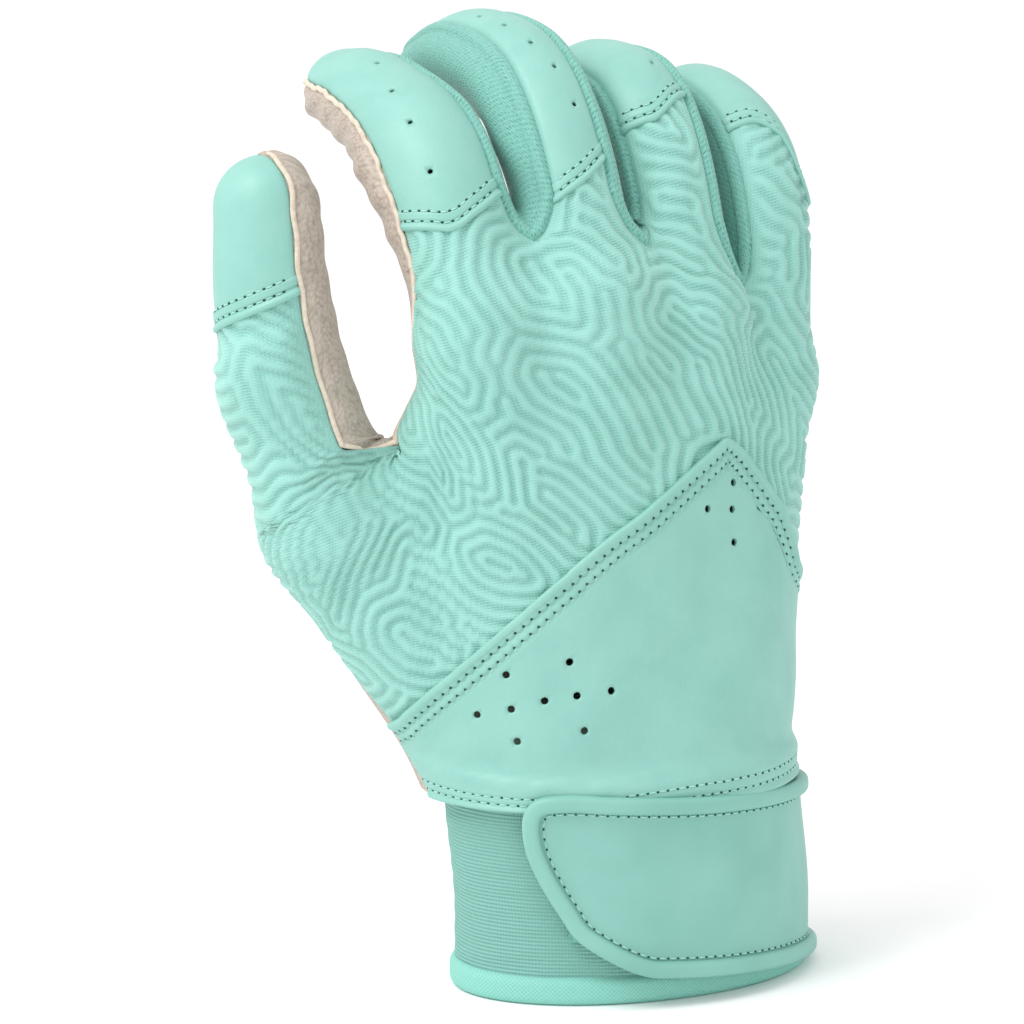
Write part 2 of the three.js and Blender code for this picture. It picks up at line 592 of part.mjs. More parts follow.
// Hand: fabric back, smooth wrist panel with its slit bound, and leather palm
const fromBackSeam = (u, v) => lerp(backSeam(u) + SEAM, knuckleLine(BACK_RIM_RISE)(u), v);
const toBackSeam = (u, v) => overCuff(v, backSeam(u));
const toPalmRim = (u, v) => overCuff(v, knuckleLine(-PALM_RIM_DROP)(u));
const lappedRows = [LAP_ROW, ...rowShares];
const trimmedAngle = TRIM_ANGLES[0] - 2 * (SQUARE_ANGLE - SIDE_ANGLE);
add('back_panel', handPanel(backGuide, 1, SIDE_ANGLE, fromBackSeam, rowShares), 'stretchFabric');
add('wrist_panel', handPanel(
  backGuide, 1, trimmedAngle, toBackSeam, [LAP_ROW, ...wristRowShares],
), 'smoothLeather');
add('slit_trim', slitTrim(), 'smoothLeather');
add('palm_leather', handPanel(palmGuide, -1, SIDE_ANGLE, toPalmRim, lappedRows), 'palmLeather');

// Cuff and strap
add('cuff', band(BINDING_HEIGHT + LAYER_GAP, CUFF_TOP, 0, CUFF_WALL, 40), 'ribbedElastic');
add('cuff_binding', band(0, BINDING_HEIGHT, BINDING_PROUD, CUFF_WALL + 2 * BINDING_PROUD, 40), 'tape');
add('strap_panel', strapPanel(), 'mouldedStrap');
add('strap_edge', strapEdge(), 'mouldedStrap');
add('hook_patch', patch(HOOK_LENGTH, hookLift, HOOK_WALL), 'hookAndLoop');
add('loop_patch', patch(LOOP_LENGTH, loopLift, LOOP_WALL), 'hookAndLoop');
add('strap_anchor', strapAnchor(), 'mouldedStrap');

export default group;
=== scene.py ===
# %% [markdown]
# A batting glove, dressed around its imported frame
#
# The frame holds the glove as plain solids that bend at the knuckles. This script replaces every
# one of them with the panel that it stands for: knit, mesh, smooth synthetic leather, natural
# leather, elastic, tape and rubber, each as a thin shell with its real seams, stitches and holes.
# All shapes are worked out in millimetres and turned to metres when a mesh is made.

import json
import math

import bpy
import numpy as np
from mathutils import Matrix, Vector


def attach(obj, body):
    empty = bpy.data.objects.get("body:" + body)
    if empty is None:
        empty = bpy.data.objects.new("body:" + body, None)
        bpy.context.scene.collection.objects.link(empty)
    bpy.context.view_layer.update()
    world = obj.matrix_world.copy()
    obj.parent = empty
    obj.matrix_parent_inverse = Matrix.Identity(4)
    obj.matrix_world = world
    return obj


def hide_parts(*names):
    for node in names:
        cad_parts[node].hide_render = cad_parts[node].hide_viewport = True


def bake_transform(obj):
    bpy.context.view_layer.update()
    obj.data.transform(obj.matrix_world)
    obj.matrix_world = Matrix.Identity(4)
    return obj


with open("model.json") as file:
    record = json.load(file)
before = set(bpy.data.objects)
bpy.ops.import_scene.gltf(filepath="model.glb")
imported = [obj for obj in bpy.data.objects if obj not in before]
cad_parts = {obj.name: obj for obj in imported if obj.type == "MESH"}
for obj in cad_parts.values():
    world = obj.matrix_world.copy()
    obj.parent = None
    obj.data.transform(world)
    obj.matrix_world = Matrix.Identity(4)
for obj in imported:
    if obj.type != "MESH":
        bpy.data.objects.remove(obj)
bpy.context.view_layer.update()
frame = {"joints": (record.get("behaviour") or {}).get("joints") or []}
MM = 0.001
joint_places = {j["name"]: np.array(j["pos_m"]) / MM for j in frame["joints"]}

# %% [markdown]
# The hand inside the glove
#
# A glove has no shape of its own: it takes the hand's. So the first thing to write down is the
# hand, as bones. Each digit has a smooth centre line that bends at its joints and a girth along
# it. The knuckles lie on the frame's own hinges or within 3 mm of them.

# %% Bones and centre lines
# bones are lengths in mm, and girth is half the thickness at each joint.
# pitch leans a bone from +Z towards the palm, splay leans it towards +X, in degrees.
# back, right and left are the angles round a digit where its panels meet, from the back to +X.
# socket is what the girth at the knuckle grows by inside the hand.
DIGITS = {
    "index": dict(bones=[37.4, 28.5, 18.5], pitch=[22, 70, 87], splay=[-3.5, -4, -6],
                  girth=[11.3, 13.2, 10.9, 8.3], back=(-77, 33), right=95, left=-77, socket=0.6),
    "middle": dict(bones=[46.5, 29, 18], pitch=[26, 79, 112], splay=[-1.2, -4, -5],
                   girth=[11.2, 11.7, 11.2, 10.2], back=(-38, 28), right=92, left=-122, socket=2.1),
    "ring": dict(bones=[45.8, 28, 17], pitch=[23, 84, 120], splay=[0.4, -1, 0],
                 girth=[10.6, 10.8, 10.5, 9.4], back=(-60, 33), right=96, left=-116, socket=1.6),
    "pinky": dict(bones=[44, 27, 16], pitch=[12, 68, 104], splay=[4, -2, -6],
                  girth=[9.2, 10.4, 10.4, 9.2], back=(-38, 108), right=108, left=-104, socket=0.6),
    "thumb": dict(bones=[43, 29], pitch=[6, 6], splay=[-15.8, 0],
                  girth=[14.2, 12.2, 10.8], back=(-168, 8), right=8, left=-168, socket=0.3),
}
# The filled fingers lie this far, in mm along X, from the frame's hinges
LINE_SHIFT = {"index": -0.1, "pinky": -2.6, "thumb": -2.9}
FINGERS = ["index", "middle", "ring", "pinky"]
LINE_SAMPLES = 160      # points on a digit's centre line
# The fingers' bones start in the wrist at this height, at an X and Y for each
WRIST_Z, WRIST_GIRTH = 46.0, 22.4
WRIST_PLACES = {"index": (-14, 1), "middle": (-5, 0), "ring": (6, 0), "pinky": (10.4, 1)}
THENAR_BASE, THENAR_GIRTH = np.array([-26.0, 8.0, 54.0]), 19.5
CUFF_HALF_WIDTH, CUFF_HALF_DEPTH, CUFF_TOP = 38.6, 25.2, 45.0
CUFF_OUT = 2.0          # the hand's panels lap over the cuff at this lift
WRIST_MIDDLE, WRIST_HALF_WIDTH = -3.8, 37.0    # the panels over the cuff lean to the thumb's side
HAND_BOTTOM = 42.0


def unit(vectors):
    """Each vector divided by its own length."""
    return vectors / np.linalg.norm(vectors, axis=-1, keepdims=True)


def travel(path):
    """How far along a path each of its points lies: the sum of the steps before it."""
    return np.concatenate([[0], np.cumsum(np.linalg.norm(np.diff(path, axis=0), axis=1))])


def read_at(places, stops, values):
    """Each column of values read at places, in straight lines between the rows' own stops."""
    return np.stack([np.interp(places, stops, column) for column in values.T], -1)


def evened(path, count):
    """Points at even distances along the straight lines between a path's points."""
    path = np.asarray(path)
    far = travel(path)
    return read_at(np.linspace(0, far[-1], count), far, path)


def bone_direction(pitch, splay):
    """Unit vector along a bone with pitch p and splay s: sin s, sin p cos s, cos p cos s."""
    p, s = math.radians(pitch), math.radians(splay)
    return np.array([math.sin(s), math.sin(p) * math.cos(s), math.cos(p) * math.cos(s)])


def centre_line(knuckle, digit):
    """Straight bones whose corners are quadratic curves between the bones' middles, then
    resampled at even lengths. Gives points, the unit tangents and the length."""
    joints = [knuckle]
    for length, pitch, splay in zip(digit["bones"], digit["pitch"], digit["splay"]):
        joints.append(joints[-1] + length * bone_direction(pitch, splay))
    middles = [(a + b) / 2 for a, b in zip(joints, joints[1:])]
    t = np.linspace(0, 1, LINE_SAMPLES // 4)[:, None]
    runs = [joints[0] * (1 - t) + middles[0] * t]
    for before, corner, after in zip(middles, joints[1:], middles[1:]):
        runs.append(before * (1 - t) ** 2 + 2 * corner * t * (1 - t) + after * t ** 2)
    runs.append(middles[-1] * (1 - t) + joints[-1] * t)
    rough = np.vstack([runs[0]] + [run[1:] for run in runs[1:]])
    points = evened(rough, LINE_SAMPLES)
    return points, unit(np.gradient(points, axis=0)), travel(rough)[-1]


def smooth(x):
    """0 below 0, 1 above 1, and 3x^2 - 2x^3 between."""
    x = np.clip(x, 0, 1)
    return x * x * (3 - 2 * x)


for name, digit in DIGITS.items():
    digit["knuckle"] = joint_places[name + "_bend"] + [LINE_SHIFT.get(name, 0), 0, 0]
    digit["line"], digit["tangent"], digit["length"] = centre_line(digit["knuckle"], digit)
    print(name, "length", round(digit["length"], 1), "mm")


def girth_at(digit, length):
    """Girth at a length along the digit, eased between the girths at its joints."""
    stops = np.concatenate([[0], np.cumsum(digit["bones"])]) / sum(digit["bones"])
    share = np.clip(np.asarray(length) / digit["length"], 0, 1)
    bone = np.clip(np.searchsorted(stops, share) - 1, 0, len(stops) - 2)
    part = smooth((share - stops[bone]) / (stops[bone + 1] - stops[bone]))
    girths = np.array(digit["girth"])
    return girths[bone] * (1 - part) + girths[bone + 1] * part


def side_axes(tangent):
    """The two directions square to a digit's line: the one nearest to +X, and the back."""
    across = unit(np.array([1.0, 0, 0]) - tangent * tangent[..., :1])
    return across, np.cross(across, tangent)


def digit_ray(digit, angle, length):
    """Where a ray leaves a digit's centre line: angle is measured round it from the back towards
    +X, length along it. Before the knuckle the line runs on straight into the hand. Past the end
    the ray tips over a half sphere. Gives the start, the direction and the digit's own girth."""
    angle, length = np.broadcast_arrays(np.radians(angle), np.asarray(length, float))
    on_line = np.clip(length, 0, digit["length"])
    index = on_line / digit["length"] * (LINE_SAMPLES - 1)
    samples = np.arange(LINE_SAMPLES)
    tangent = unit(read_at(index, samples, digit["tangent"]))
    start = read_at(index, samples, digit["line"]) + tangent * np.minimum(length, 0)[..., None]
    across, back = side_axes(tangent)
    out = back * np.cos(angle)[..., None] + across * np.sin(angle)[..., None]
    turn = np.maximum(length - digit["length"], 0) / digit["girth"][-1]
    out = out * np.cos(turn)[..., None] + tangent * np.sin(turn)[..., None]
    return start, out, girth_at(digit, length)


# %% [markdown]
# One smooth skin for the whole glove
#
# A real glove is cut so that its panels meet without a step: the back runs into the fingers and
# the palm into the thumb. Adding up solids would leave creases there. A distance field gives one
# skin instead: every bone is a tapered capsule, and a smooth minimum melts neighbours together.
# Places on the skin are found in two ways. A ray is followed from inside the hand until it meets
# the skin, or a rough point slides onto it.

# %% Distance field and rays
def capsule(p, a, b, girth_a, girth_b):
    """Distance from the nearest place on the bone a-b, less the girth there."""
    bone = b - a
    share = np.clip((p - a) @ bone / (bone @ bone), 0, 1)
    gap = np.linalg.norm(p - a - share[:, None] * bone, axis=1)
    return gap - (girth_a + (girth_b - girth_a) * share)


def melt(a, b, softness):
    """Smaller of two distances, rounded by softness where they are alike."""
    overlap = np.maximum(softness - np.abs(a - b), 0) / softness
    return np.minimum(a, b) - overlap ** 2 * softness / 4


# Webs between the digits: the place of the fabric's lowest point there, the web's girth, and how
# much higher the mesh carries the saddle than the fabric
WEBS = [
    dict(fingers=("index", "middle"), low=np.array([-21.5, 7.0, 156.7]), girth=8.0, crest=3.2),
    dict(fingers=("middle", "ring"), low=np.array([3.0, 5.5, 153.9]), girth=8.0, crest=3.2),
    dict(fingers=("ring", "pinky"), low=np.array([27.0, 10.5, 141.5]), girth=7.0, crest=3.0),
]
THUMB_WEB = dict(fingers=("thumb", "index"), low=np.array([-49.0, 14.0, 100.6]), girth=9.0, crest=0.4)
ALL_WEBS = WEBS + [THUMB_WEB]
FRONT_TILT = 50         # a crest reaches at least this far, in degrees, down the palm's side
for web in ALL_WEBS:
    rise = web["girth"] - web["crest"]
    web["tilt"] = math.degrees(math.acos(rise / web["girth"]))
    web["front_tilt"] = max(web["tilt"], FRONT_TILT)
    web["core"] = web["low"] - [0, 0, rise]
    sides = [DIGITS[finger]["knuckle"] for finger in web["fingers"]]
    web["root"] = np.array([web["low"][0], (sides[0] + sides[1])[1] / 2, min(s[2] for s in sides) - 4])
THUMB_WEB["root"] = np.array([-38.0, 7.0, 118.0])
TUBE_STEP = 8           # every eighth sample of a centre line is enough for its tube
# How softly the parts of the hand run together, in mm
PALM_MELT, THENAR_MELT, CUFF_MELT, WEB_MELT, DIGIT_MELT = 12, 16, 7, 6, 6
OVAL_RISE = 1.2         # the wrist's oval ends this far above the cuff


def tube(p, digit):
    """Distance from a digit's own tube, as a chain of capsules."""
    places = digit["line"][::TUBE_STEP]
    girths = girth_at(digit, np.linspace(0, digit["length"], LINE_SAMPLES)[::TUBE_STEP])
    found = np.full(len(p), np.inf)
    for k in range(len(places) - 1):
        found = np.minimum(found, capsule(p, places[k], places[k + 1], girths[k], girths[k + 1]))
    return found


def skin_distance(p):
    """Palm bones, ball of the thumb, cuff, webs and digits, melted together."""
    palm = None
    for name in FINGERS:
        digit = DIGITS[name]
        wrist = np.array([*WRIST_PLACES[name], WRIST_Z])
        bone = capsule(p, wrist, digit["knuckle"], WRIST_GIRTH, digit["girth"][0] + digit["socket"])
        palm = bone if palm is None else melt(palm, bone, PALM_MELT)
    thumb = DIGITS["thumb"]
    ball = capsule(p, THENAR_BASE, thumb["knuckle"], THENAR_GIRTH, thumb["girth"][0] + thumb["socket"])
    palm = melt(palm, ball, THENAR_MELT)
    depth = CUFF_HALF_DEPTH + CUFF_OUT
    oval = (np.hypot((p[:, 0] - WRIST_MIDDLE) / WRIST_HALF_WIDTH, p[:, 1] / depth) - 1) * depth
    palm = melt(palm, np.maximum(oval, p[:, 2] - CUFF_TOP - OVAL_RISE), CUFF_MELT)
    for web in ALL_WEBS:
        palm = melt(palm, capsule(p, web["root"], web["core"], web["girth"], web["girth"]), WEB_MELT)
    return melt(palm, np.minimum.reduce([tube(p, digit) for digit in DIGITS.values()]), DIGIT_MELT)


def cast(start, out, step=1.5, reach=60.0):
    """Walks each ray outward in steps until the field is positive, then halves the last step."""
    shape = start.shape
    start, out = start.reshape(-1, 3), unit(out.reshape(-1, 3))
    near, far = np.zeros(len(start)), np.full(len(start), reach)
    open_rays = np.ones(len(start), bool)
    for distance in np.arange(step, reach, step):
        live = np.flatnonzero(open_rays)
        if not len(live):
            break
        outside = skin_distance(start[live] + out[live] * distance) > 0
        far[live[outside]] = distance
        open_rays[live[outside]] = False
        near[live[~outside]] = distance
    for _ in range(14):
        half = (near + far) / 2
        inside = skin_distance(start + out * half[:, None]) < 0
        near, far = np.where(inside, half, near), np.where(inside, far, half)
    return (start + out * near[:, None]).reshape(shape), out.reshape(shape)


print("skin above the middle knuckle:", skin_distance(DIGITS["middle"]["knuckle"][None]).round(1), "mm")

# %% [markdown]
# The chart of the hand
#
# A chart is a rule that turns two numbers into a ray. The hand's chart runs across from the
# thumb's side to the little finger's and up from the cuff, and its rays fan out at both sides.
# It has to step over the root of the thumb, so its left guide has a stop more there.

# %% The hand's chart
EDGE_SHARE = 0.2        # the rays turn sideways over this share of the chart at either side
knuckle_x = np.array([DIGITS[name]["knuckle"][0] for name in FINGERS])


def guide(*places):
    """Stops of one side of the chart as rows of Z, X and Y, from low to high."""
    return np.array([[z, x, y] for x, y, z in places])


LEFT_GUIDE = guide((*WRIST_PLACES["index"], HAND_BOTTOM), THENAR_BASE, DIGITS["index"]["knuckle"])
RIGHT_GUIDE = guide((*WRIST_PLACES["pinky"], HAND_BOTTOM), (*WRIST_PLACES["pinky"], WRIST_Z),
                    DIGITS["pinky"]["knuckle"])


def hand_ray(side, across, z, right_angle=90):
    """A ray on the hand's chart. side is 1 on the back and -1 on the palm."""
    across, z = np.broadcast_arrays(across, z)
    left, right = (read_at(z, stops[:, 0], stops[:, 1:]) for stops in (LEFT_GUIDE, RIGHT_GUIDE))
    inner = np.clip((across - EDGE_SHARE / 2) / (1 - EDGE_SHARE), 0, 1)[..., None]
    start = np.concatenate([left + (right - left) * inner, z[..., None]], -1)
    left_turn = np.maximum(0, 1 - across / EDGE_SHARE)
    right_turn = np.maximum(0, 1 - (1 - across) / EDGE_SHARE)
    angle = np.radians(right_angle * right_turn - 90 * left_turn)
    return start, np.stack([np.sin(angle), -side * np.cos(angle), np.zeros_like(angle)], -1)


knuckle_way = (knuckle_x - knuckle_x[0]) / (knuckle_x[-1] - knuckle_x[0])
KNUCKLE_SHARES = knuckle_way * (1 - EDGE_SHARE) + EDGE_SHARE / 2
print("knuckles across the chart:", KNUCKLE_SHARES.round(3))

# %% [markdown]
# From chart to mesh
#
# Finding many thousands of places is slow, and the skin is smooth, so each panel is a coarse
# grid, filled in with a cubic curve through its rows and columns. The fine grid then gets its
# relief along its normals, a wall, and a closed rim. A panel's edge dips where it is sewn.

# %% Grid tools
def cubic_weights(count, fine):
    """Matrix that fills in a row of values by Catmull-Rom curves: fine values from count ones."""
    at = np.linspace(0, count - 1, fine)
    cell = np.minimum(at.astype(int), count - 2)
    t = at - cell
    parts = [-t + 2 * t ** 2 - t ** 3, 2 - 5 * t ** 2 + 3 * t ** 3,
             t + 4 * t ** 2 - 3 * t ** 3, -t ** 2 + t ** 3]
    weights = np.zeros((fine, count + 2))
    for shift, part in enumerate(parts):
        np.add.at(weights, (np.arange(fine), cell + shift), part / 2)
    ends = np.zeros((count + 2, count))
    ends[1:-1] = np.eye(count)
    ends[0, :3] = [3, -3, 1]
    ends[-1, -3:] = [1, -3, 3]
    return weights @ ends


def refine(grid, rows, columns):
    """Cubic filling-in of a grid of points along both its directions."""
    down, along = cubic_weights(grid.shape[0], rows), cubic_weights(grid.shape[1], columns)
    return np.einsum("ri,ijk,cj->rck", down, grid, along)


def curve_through(stops, count):
    """Even points on a Catmull-Rom curve through the stops."""
    return evened(cubic_weights(len(stops), len(stops) * 16) @ stops, count)


def grid_normals(points, out):
    """Cross product of the grid's two directions, turned to the side that out points to."""
    normal = unit(np.cross(np.gradient(points, axis=1), np.gradient(points, axis=0)) + 1e-12)
    return normal * np.sign(np.sum(normal * out, -1, keepdims=True) + 1e-12)


def edge_lengths(points):
    """How far each node is from the grid's left, right, low and high edges, along the surface."""
    along = np.cumsum(np.linalg.norm(np.diff(points, axis=1, prepend=points[:, :1]), axis=2), 1)
    up = np.cumsum(np.linalg.norm(np.diff(points, axis=0, prepend=points[:1]), axis=2), 0)
    return {"left": along, "right": along[:, -1:] - along, "low": up, "high": up[-1:] - up}


def grid_faces(rows, columns):
    """Quads of a grid of rows by columns nodes."""
    node = np.arange(rows * columns).reshape(rows, columns)
    return np.stack([node[:-1, :-1], node[:-1, 1:], node[1:, 1:], node[1:, :-1]], -1).reshape(-1, 4)


def pierced(points, normals, faces, holes, radius):
    """Cuts round holes: the block of cells round each hole is taken out, and each of its border
    nodes is drawn straight towards the middle onto a ring. Gives the faces left, and for each hole
    its border nodes, the ring and the normal."""
    rows, columns = points.shape[:2]
    node = np.arange(rows * columns).reshape(rows, columns)
    gone, cuts = np.zeros((rows - 1, columns - 1), bool), []
    for place in holes:
        i, j = np.unravel_index(np.argmin(np.linalg.norm(points - place, axis=2)), (rows, columns))
        i, j = int(np.clip(i, 8, rows - 9)), int(np.clip(j, 8, columns - 9))
        tall = np.linalg.norm(points[i + 1, j] - points[i - 1, j]) / 2
        wide = np.linalg.norm(points[i, j + 1] - points[i, j - 1]) / 2
        a, b = (int(np.clip(math.ceil(1.35 * radius / size), 2, 7)) for size in (tall, wide))
        gone[i - a:i + a, j - b:j + b] = True
        loop = np.concatenate([node[i - a, j - b:j + b], node[i - a:i + a, j + b],
                               node[i + a, j + b:j - b:-1], node[i + a:i - a:-1, j - b]])
        border = points.reshape(-1, 3)[loop]
        middle = border.mean(0)
        cuts.append((loop, middle + unit(border - middle) * radius, normals[i, j]))
    return faces[~gone.ravel()], cuts


def new_object(name, points, faces, material, flat=None, border=None, ridge=None):
    """A smooth-shaded mesh object from millimetre points and quads. Nodes that no face uses are
    left out. flat holds each node's own flat coordinates in mm and becomes a UV map. Edges between
    border nodes are shaded as sharp, so that two panels that meet look like one surface."""
    used, faces = np.unique(faces, return_inverse=True)
    faces = faces.reshape(-1, 4)
    mesh = bpy.data.meshes.new(name)
    mesh.from_pydata((points[used] * MM).tolist(), [], faces.tolist())
    mesh.polygons.foreach_set("use_smooth", np.ones(len(mesh.polygons), bool))
    if flat is not None:
        corners = np.zeros(len(mesh.loops), int)
        mesh.loops.foreach_get("vertex_index", corners)
        layer = mesh.uv_layers.new(name="flat")
        layer.data.foreach_set("uv", flat[used][corners].astype(np.float32).ravel())
    if ridge is not None:
        layer = mesh.attributes.new("ridge", "FLOAT", "POINT")
        layer.data.foreach_set("value", ridge[used].astype(np.float32))
    mesh.materials.append(material)
    mesh.update()
    if border is not None:
        ends = np.zeros(2 * len(mesh.edges), int)
        mesh.edges.foreach_get("vertices", ends)
        on_border = np.isin(used[ends.reshape(-1, 2)], border)
        mesh.edges.foreach_set("use_edge_sharp", on_border.all(1))
    piece = bpy.data.objects.new(name, mesh)
    bpy.context.collection.objects.link(piece)
    return piece


def shell(name, points, out, wall, material, flat, lift=0.0, holes=(), hole_radius=0.6, ridge=None):
    """A closed panel: the grid raised by lift, the same grid sunk by the wall, and a rim between
    them. lift is a number or a value for each node. A wall runs round each hole from one to the
    other."""
    rows, columns = points.shape[:2]
    normals = grid_normals(points, out)
    lift = np.broadcast_to(np.asarray(lift, float), (rows, columns))[..., None]
    outer = points + normals * lift
    inner = points + normals * (np.minimum(lift, 0) - wall)
    flip = np.sum(np.cross(points[0, 1] - points[0, 0], points[1, 0] - points[0, 0]) * normals[0, 0]) < 0
    count = rows * columns
    border = np.concatenate([np.arange(columns), np.arange(1, rows) * columns + columns - 1,
                             count - 2 - np.arange(columns - 1), np.arange(rows - 2, 0, -1) * columns])
    after = np.roll(border, -1)
    kept, cuts = pierced(outer, normals, grid_faces(rows, columns), holes, hole_radius)
    faces = [kept, kept[:, ::-1] + count, np.stack([after, border, border + count, after + count], 1)]
    nodes = [outer.reshape(-1, 3), inner.reshape(-1, 3)]
    flats = [flat.reshape(-1, 2)] * 2
    first = 2 * count
    for loop, ring, normal in cuts:
        top = first + np.arange(len(loop))
        deep, ahead = top + len(loop), np.roll(np.arange(len(loop)), -1)
        faces += [np.stack([loop, loop[ahead], top[ahead], top], 1),
                  np.stack([top, top[ahead], deep[ahead], deep], 1),
                  np.stack([deep, deep[ahead], loop[ahead] + count, loop + count], 1)]
        nodes += [ring, ring - normal * wall]
        flats += [flat.reshape(-1, 2)[loop]] * 2
        first += 2 * len(loop)
    faces = np.concatenate(faces)
    if flip:
        faces = faces[:, ::-1]
    if ridge is not None:
        ridge = np.concatenate([ridge.ravel()] * 2)
    return new_object(name, np.concatenate(nodes), faces, material, np.concatenate(flats), border, ridge)


def seam_dip(lengths, depth=0.5, width=1.6):
    """The fall of a panel towards the seams at its left and right edge: depth * (1 - run/width)^2,
    where run is the distance from the nearer edge, and none from width inwards."""
    nearer = np.minimum(lengths["left"], lengths["right"])
    return -depth * (1 - np.clip(nearer / width, 0, 1)) ** 2


def bell(run, middle, width):
    """A bell of height 1 across a line: exp(-((run - middle) / width)^2)."""
    return np.exp(-((run - middle) / width) ** 2)


def arch(run, width):
    """A half round of height 1 over the first width mm: sqrt(1 - (2x - 1)^2), x = run / width."""
    share = np.clip(run / width, 0, 1)
    return np.sqrt(np.clip(1 - (share * 2 - 1) ** 2, 0, 1)) * (run < width)


def waves(u, v, sizes, seed):
    """Soft unevenness of about -1 to 1: a sum of sine waves with the given sizes in mm, each in a
    direction and phase drawn from a seeded generator."""
    draw = np.random.default_rng(seed)
    total = 0.0
    for size in sizes:
        turn, phase = draw.uniform(0, 2 * np.pi, 2)
        total = total + np.sin((u * np.cos(turn) + v * np.sin(turn)) * 2 * np.pi / size + phase)
    return total / len(sizes)


print("filling in 4 values to 7:", (cubic_weights(4, 7) @ [0, 1, 4, 9]).round(2))

# %% [markdown]
# The camera, and places read off the photograph
#
# The camera stands where the photographer's did: 25 degrees round to the thumb's side and 16
# degrees up, with a long lens. It comes early because it is also a ruler. A ray through a pixel
# meets the glove's skin in one place, so a seam or a hole can be put where the photograph has it.

# %% Camera
AZIMUTH, ELEVATION, DISTANCE = math.radians(-25), math.radians(16), 1300.0
PIXEL = 0.212           # mm for one pixel at the glove
PICTURE = 1024          # pixels across the square photograph
SENSOR = 36.0
LOOK_RIGHT, LOOK_UP = -25.0, 96.7    # where the camera looks, in mm right of and above the origin


def direction(azimuth, elevation):
    """Unit vector to where an azimuth and an elevation point: sin a cos e, -cos a cos e, sin e."""
    return np.array([math.sin(azimuth) * math.cos(elevation),
                     -math.cos(azimuth) * math.cos(elevation), math.sin(elevation)])


cam_back = direction(AZIMUTH, ELEVATION)
cam_right = np.array([math.cos(AZIMUTH), math.sin(AZIMUTH), 0.0])
cam_up = np.cross(cam_back, cam_right)
cam_place = DISTANCE * cam_back
cam_back = unit(cam_place - (LOOK_RIGHT * cam_right + LOOK_UP * cam_up))
cam_right = unit(cam_right - cam_back * (cam_right @ cam_back))
cam_up = np.cross(cam_back, cam_right)
camera_data = bpy.data.cameras.new("camera")
camera_data.lens, camera_data.sensor_width = SENSOR * DISTANCE / PIXEL / PICTURE, SENSOR
camera_data.clip_start, camera_data.clip_end = 0.05, 20
camera = bpy.data.objects.new("camera", camera_data)
bpy.context.collection.objects.link(camera)
camera.matrix_world = Matrix([[*row, place] for row, place in zip(
    np.stack([cam_right, cam_up, cam_back], 1).tolist(), (cam_place * MM).tolist())] + [[0, 0, 0, 1]])
bpy.context.scene.camera = camera


def seen(pixels, step=1.5):
    """Where the camera's rays through these pixels first meet the glove's skin, in mm. A pixel
    whose ray passes by gets the place on its ray that comes nearest to the skin."""
    flat = (np.asarray(pixels, float) - PICTURE / 2) * PIXEL / DISTANCE
    ray = unit(-cam_back + flat[:, :1] * cam_right - flat[:, 1:] * cam_up)
    near = np.full(len(ray), np.nan)
    closest, closest_at = np.full(len(ray), np.inf), np.zeros(len(ray))
    for distance in np.arange(DISTANCE - 110, DISTANCE + 90, step):
        gap = skin_distance(cam_place + ray * distance)
        better = gap < closest
        closest, closest_at = np.where(better, gap, closest), np.where(better, distance, closest_at)
        near = np.where(np.isnan(near) & (gap < 0), distance - step, near)
    missed = np.isnan(near)
    low = np.where(missed, closest_at, near)
    high = np.where(missed, closest_at, near + step)
    for _ in range(12):
        half = (low + high) / 2
        inside = skin_distance(cam_place + ray * half[:, None]) < 0
        low, high = np.where(inside, low, half), np.where(inside, half, high)
    return cam_place + ray * high[:, None]


def across_at(points):
    """Which share across the hand's chart has a ray on the back through each point, by trying 401
    of them."""
    tries = np.linspace(0, 1, 401)
    start, out = hand_ray(1, tries[None], points[:, 2:3])
    gap = points[:, None] - start
    miss = np.abs(gap[..., 0] * out[..., 1] - gap[..., 1] * out[..., 0])
    return tries[np.argmin(miss + 1e3 * (np.sum(gap * out, -1) < 0), 1)]


def round_digit(digit, points):
    """Angle round a digit, in degrees from the back to +X, and length along it, for each point."""
    nearest = np.argmin(np.linalg.norm(points[:, None] - digit["line"][None], axis=2), 1)
    across, back = side_axes(digit["tangent"][nearest])
    gap = points - digit["line"][nearest]
    angle = np.degrees(np.arctan2(np.sum(gap * across, 1), np.sum(gap * back, 1)))
    return angle, nearest / (LINE_SAMPLES - 1) * digit["length"]


print("seen:", seen([(630, 700), (450, 150)]).round(1))

# %% [markdown]
# Where panels meet
#
# The crotch between two fingers is a small saddle. On a sewn glove the back's fabric ends there
# in a U, and the mesh strips of both fingers run over it to the palm's leather. So the saddle's
# crest is cast first, from a core below it. Each panel then starts from rough points between
# the rows that it shares with its neighbours, and these points slide onto the skin.

# %% Crests and points on the skin
FINGER_CELLS = 9        # coarse columns on each digit
CREST_CELLS = 6         # coarse cells along a saddle's crest
RING_RISE = 13.0        # a digit is a plain tube this far past its crotch
THUMB_CROTCH = 5.5      # how far along the thumb its saddle lies
RISING_SAMPLES = 60     # samples of a finger's line before it turns down again


def settle(points, rounds=6):
    """Slides rough points onto the skin. Each round follows the field's slope by the distance
    that is left. Gives the points and the slope, which points outwards."""
    found, nudge = points.reshape(-1, 3).copy(), 0.05
    for _ in range(rounds):
        here = skin_distance(found)
        slope = np.stack([skin_distance(found + way) - here for way in nudge * np.eye(3)], 1) / nudge
        steep = np.maximum(np.sum(slope ** 2, 1), 0.25)
        found = found - slope * np.clip(here / steep, -4, 4)[:, None]
    return found.reshape(points.shape), unit(slope).reshape(points.shape)


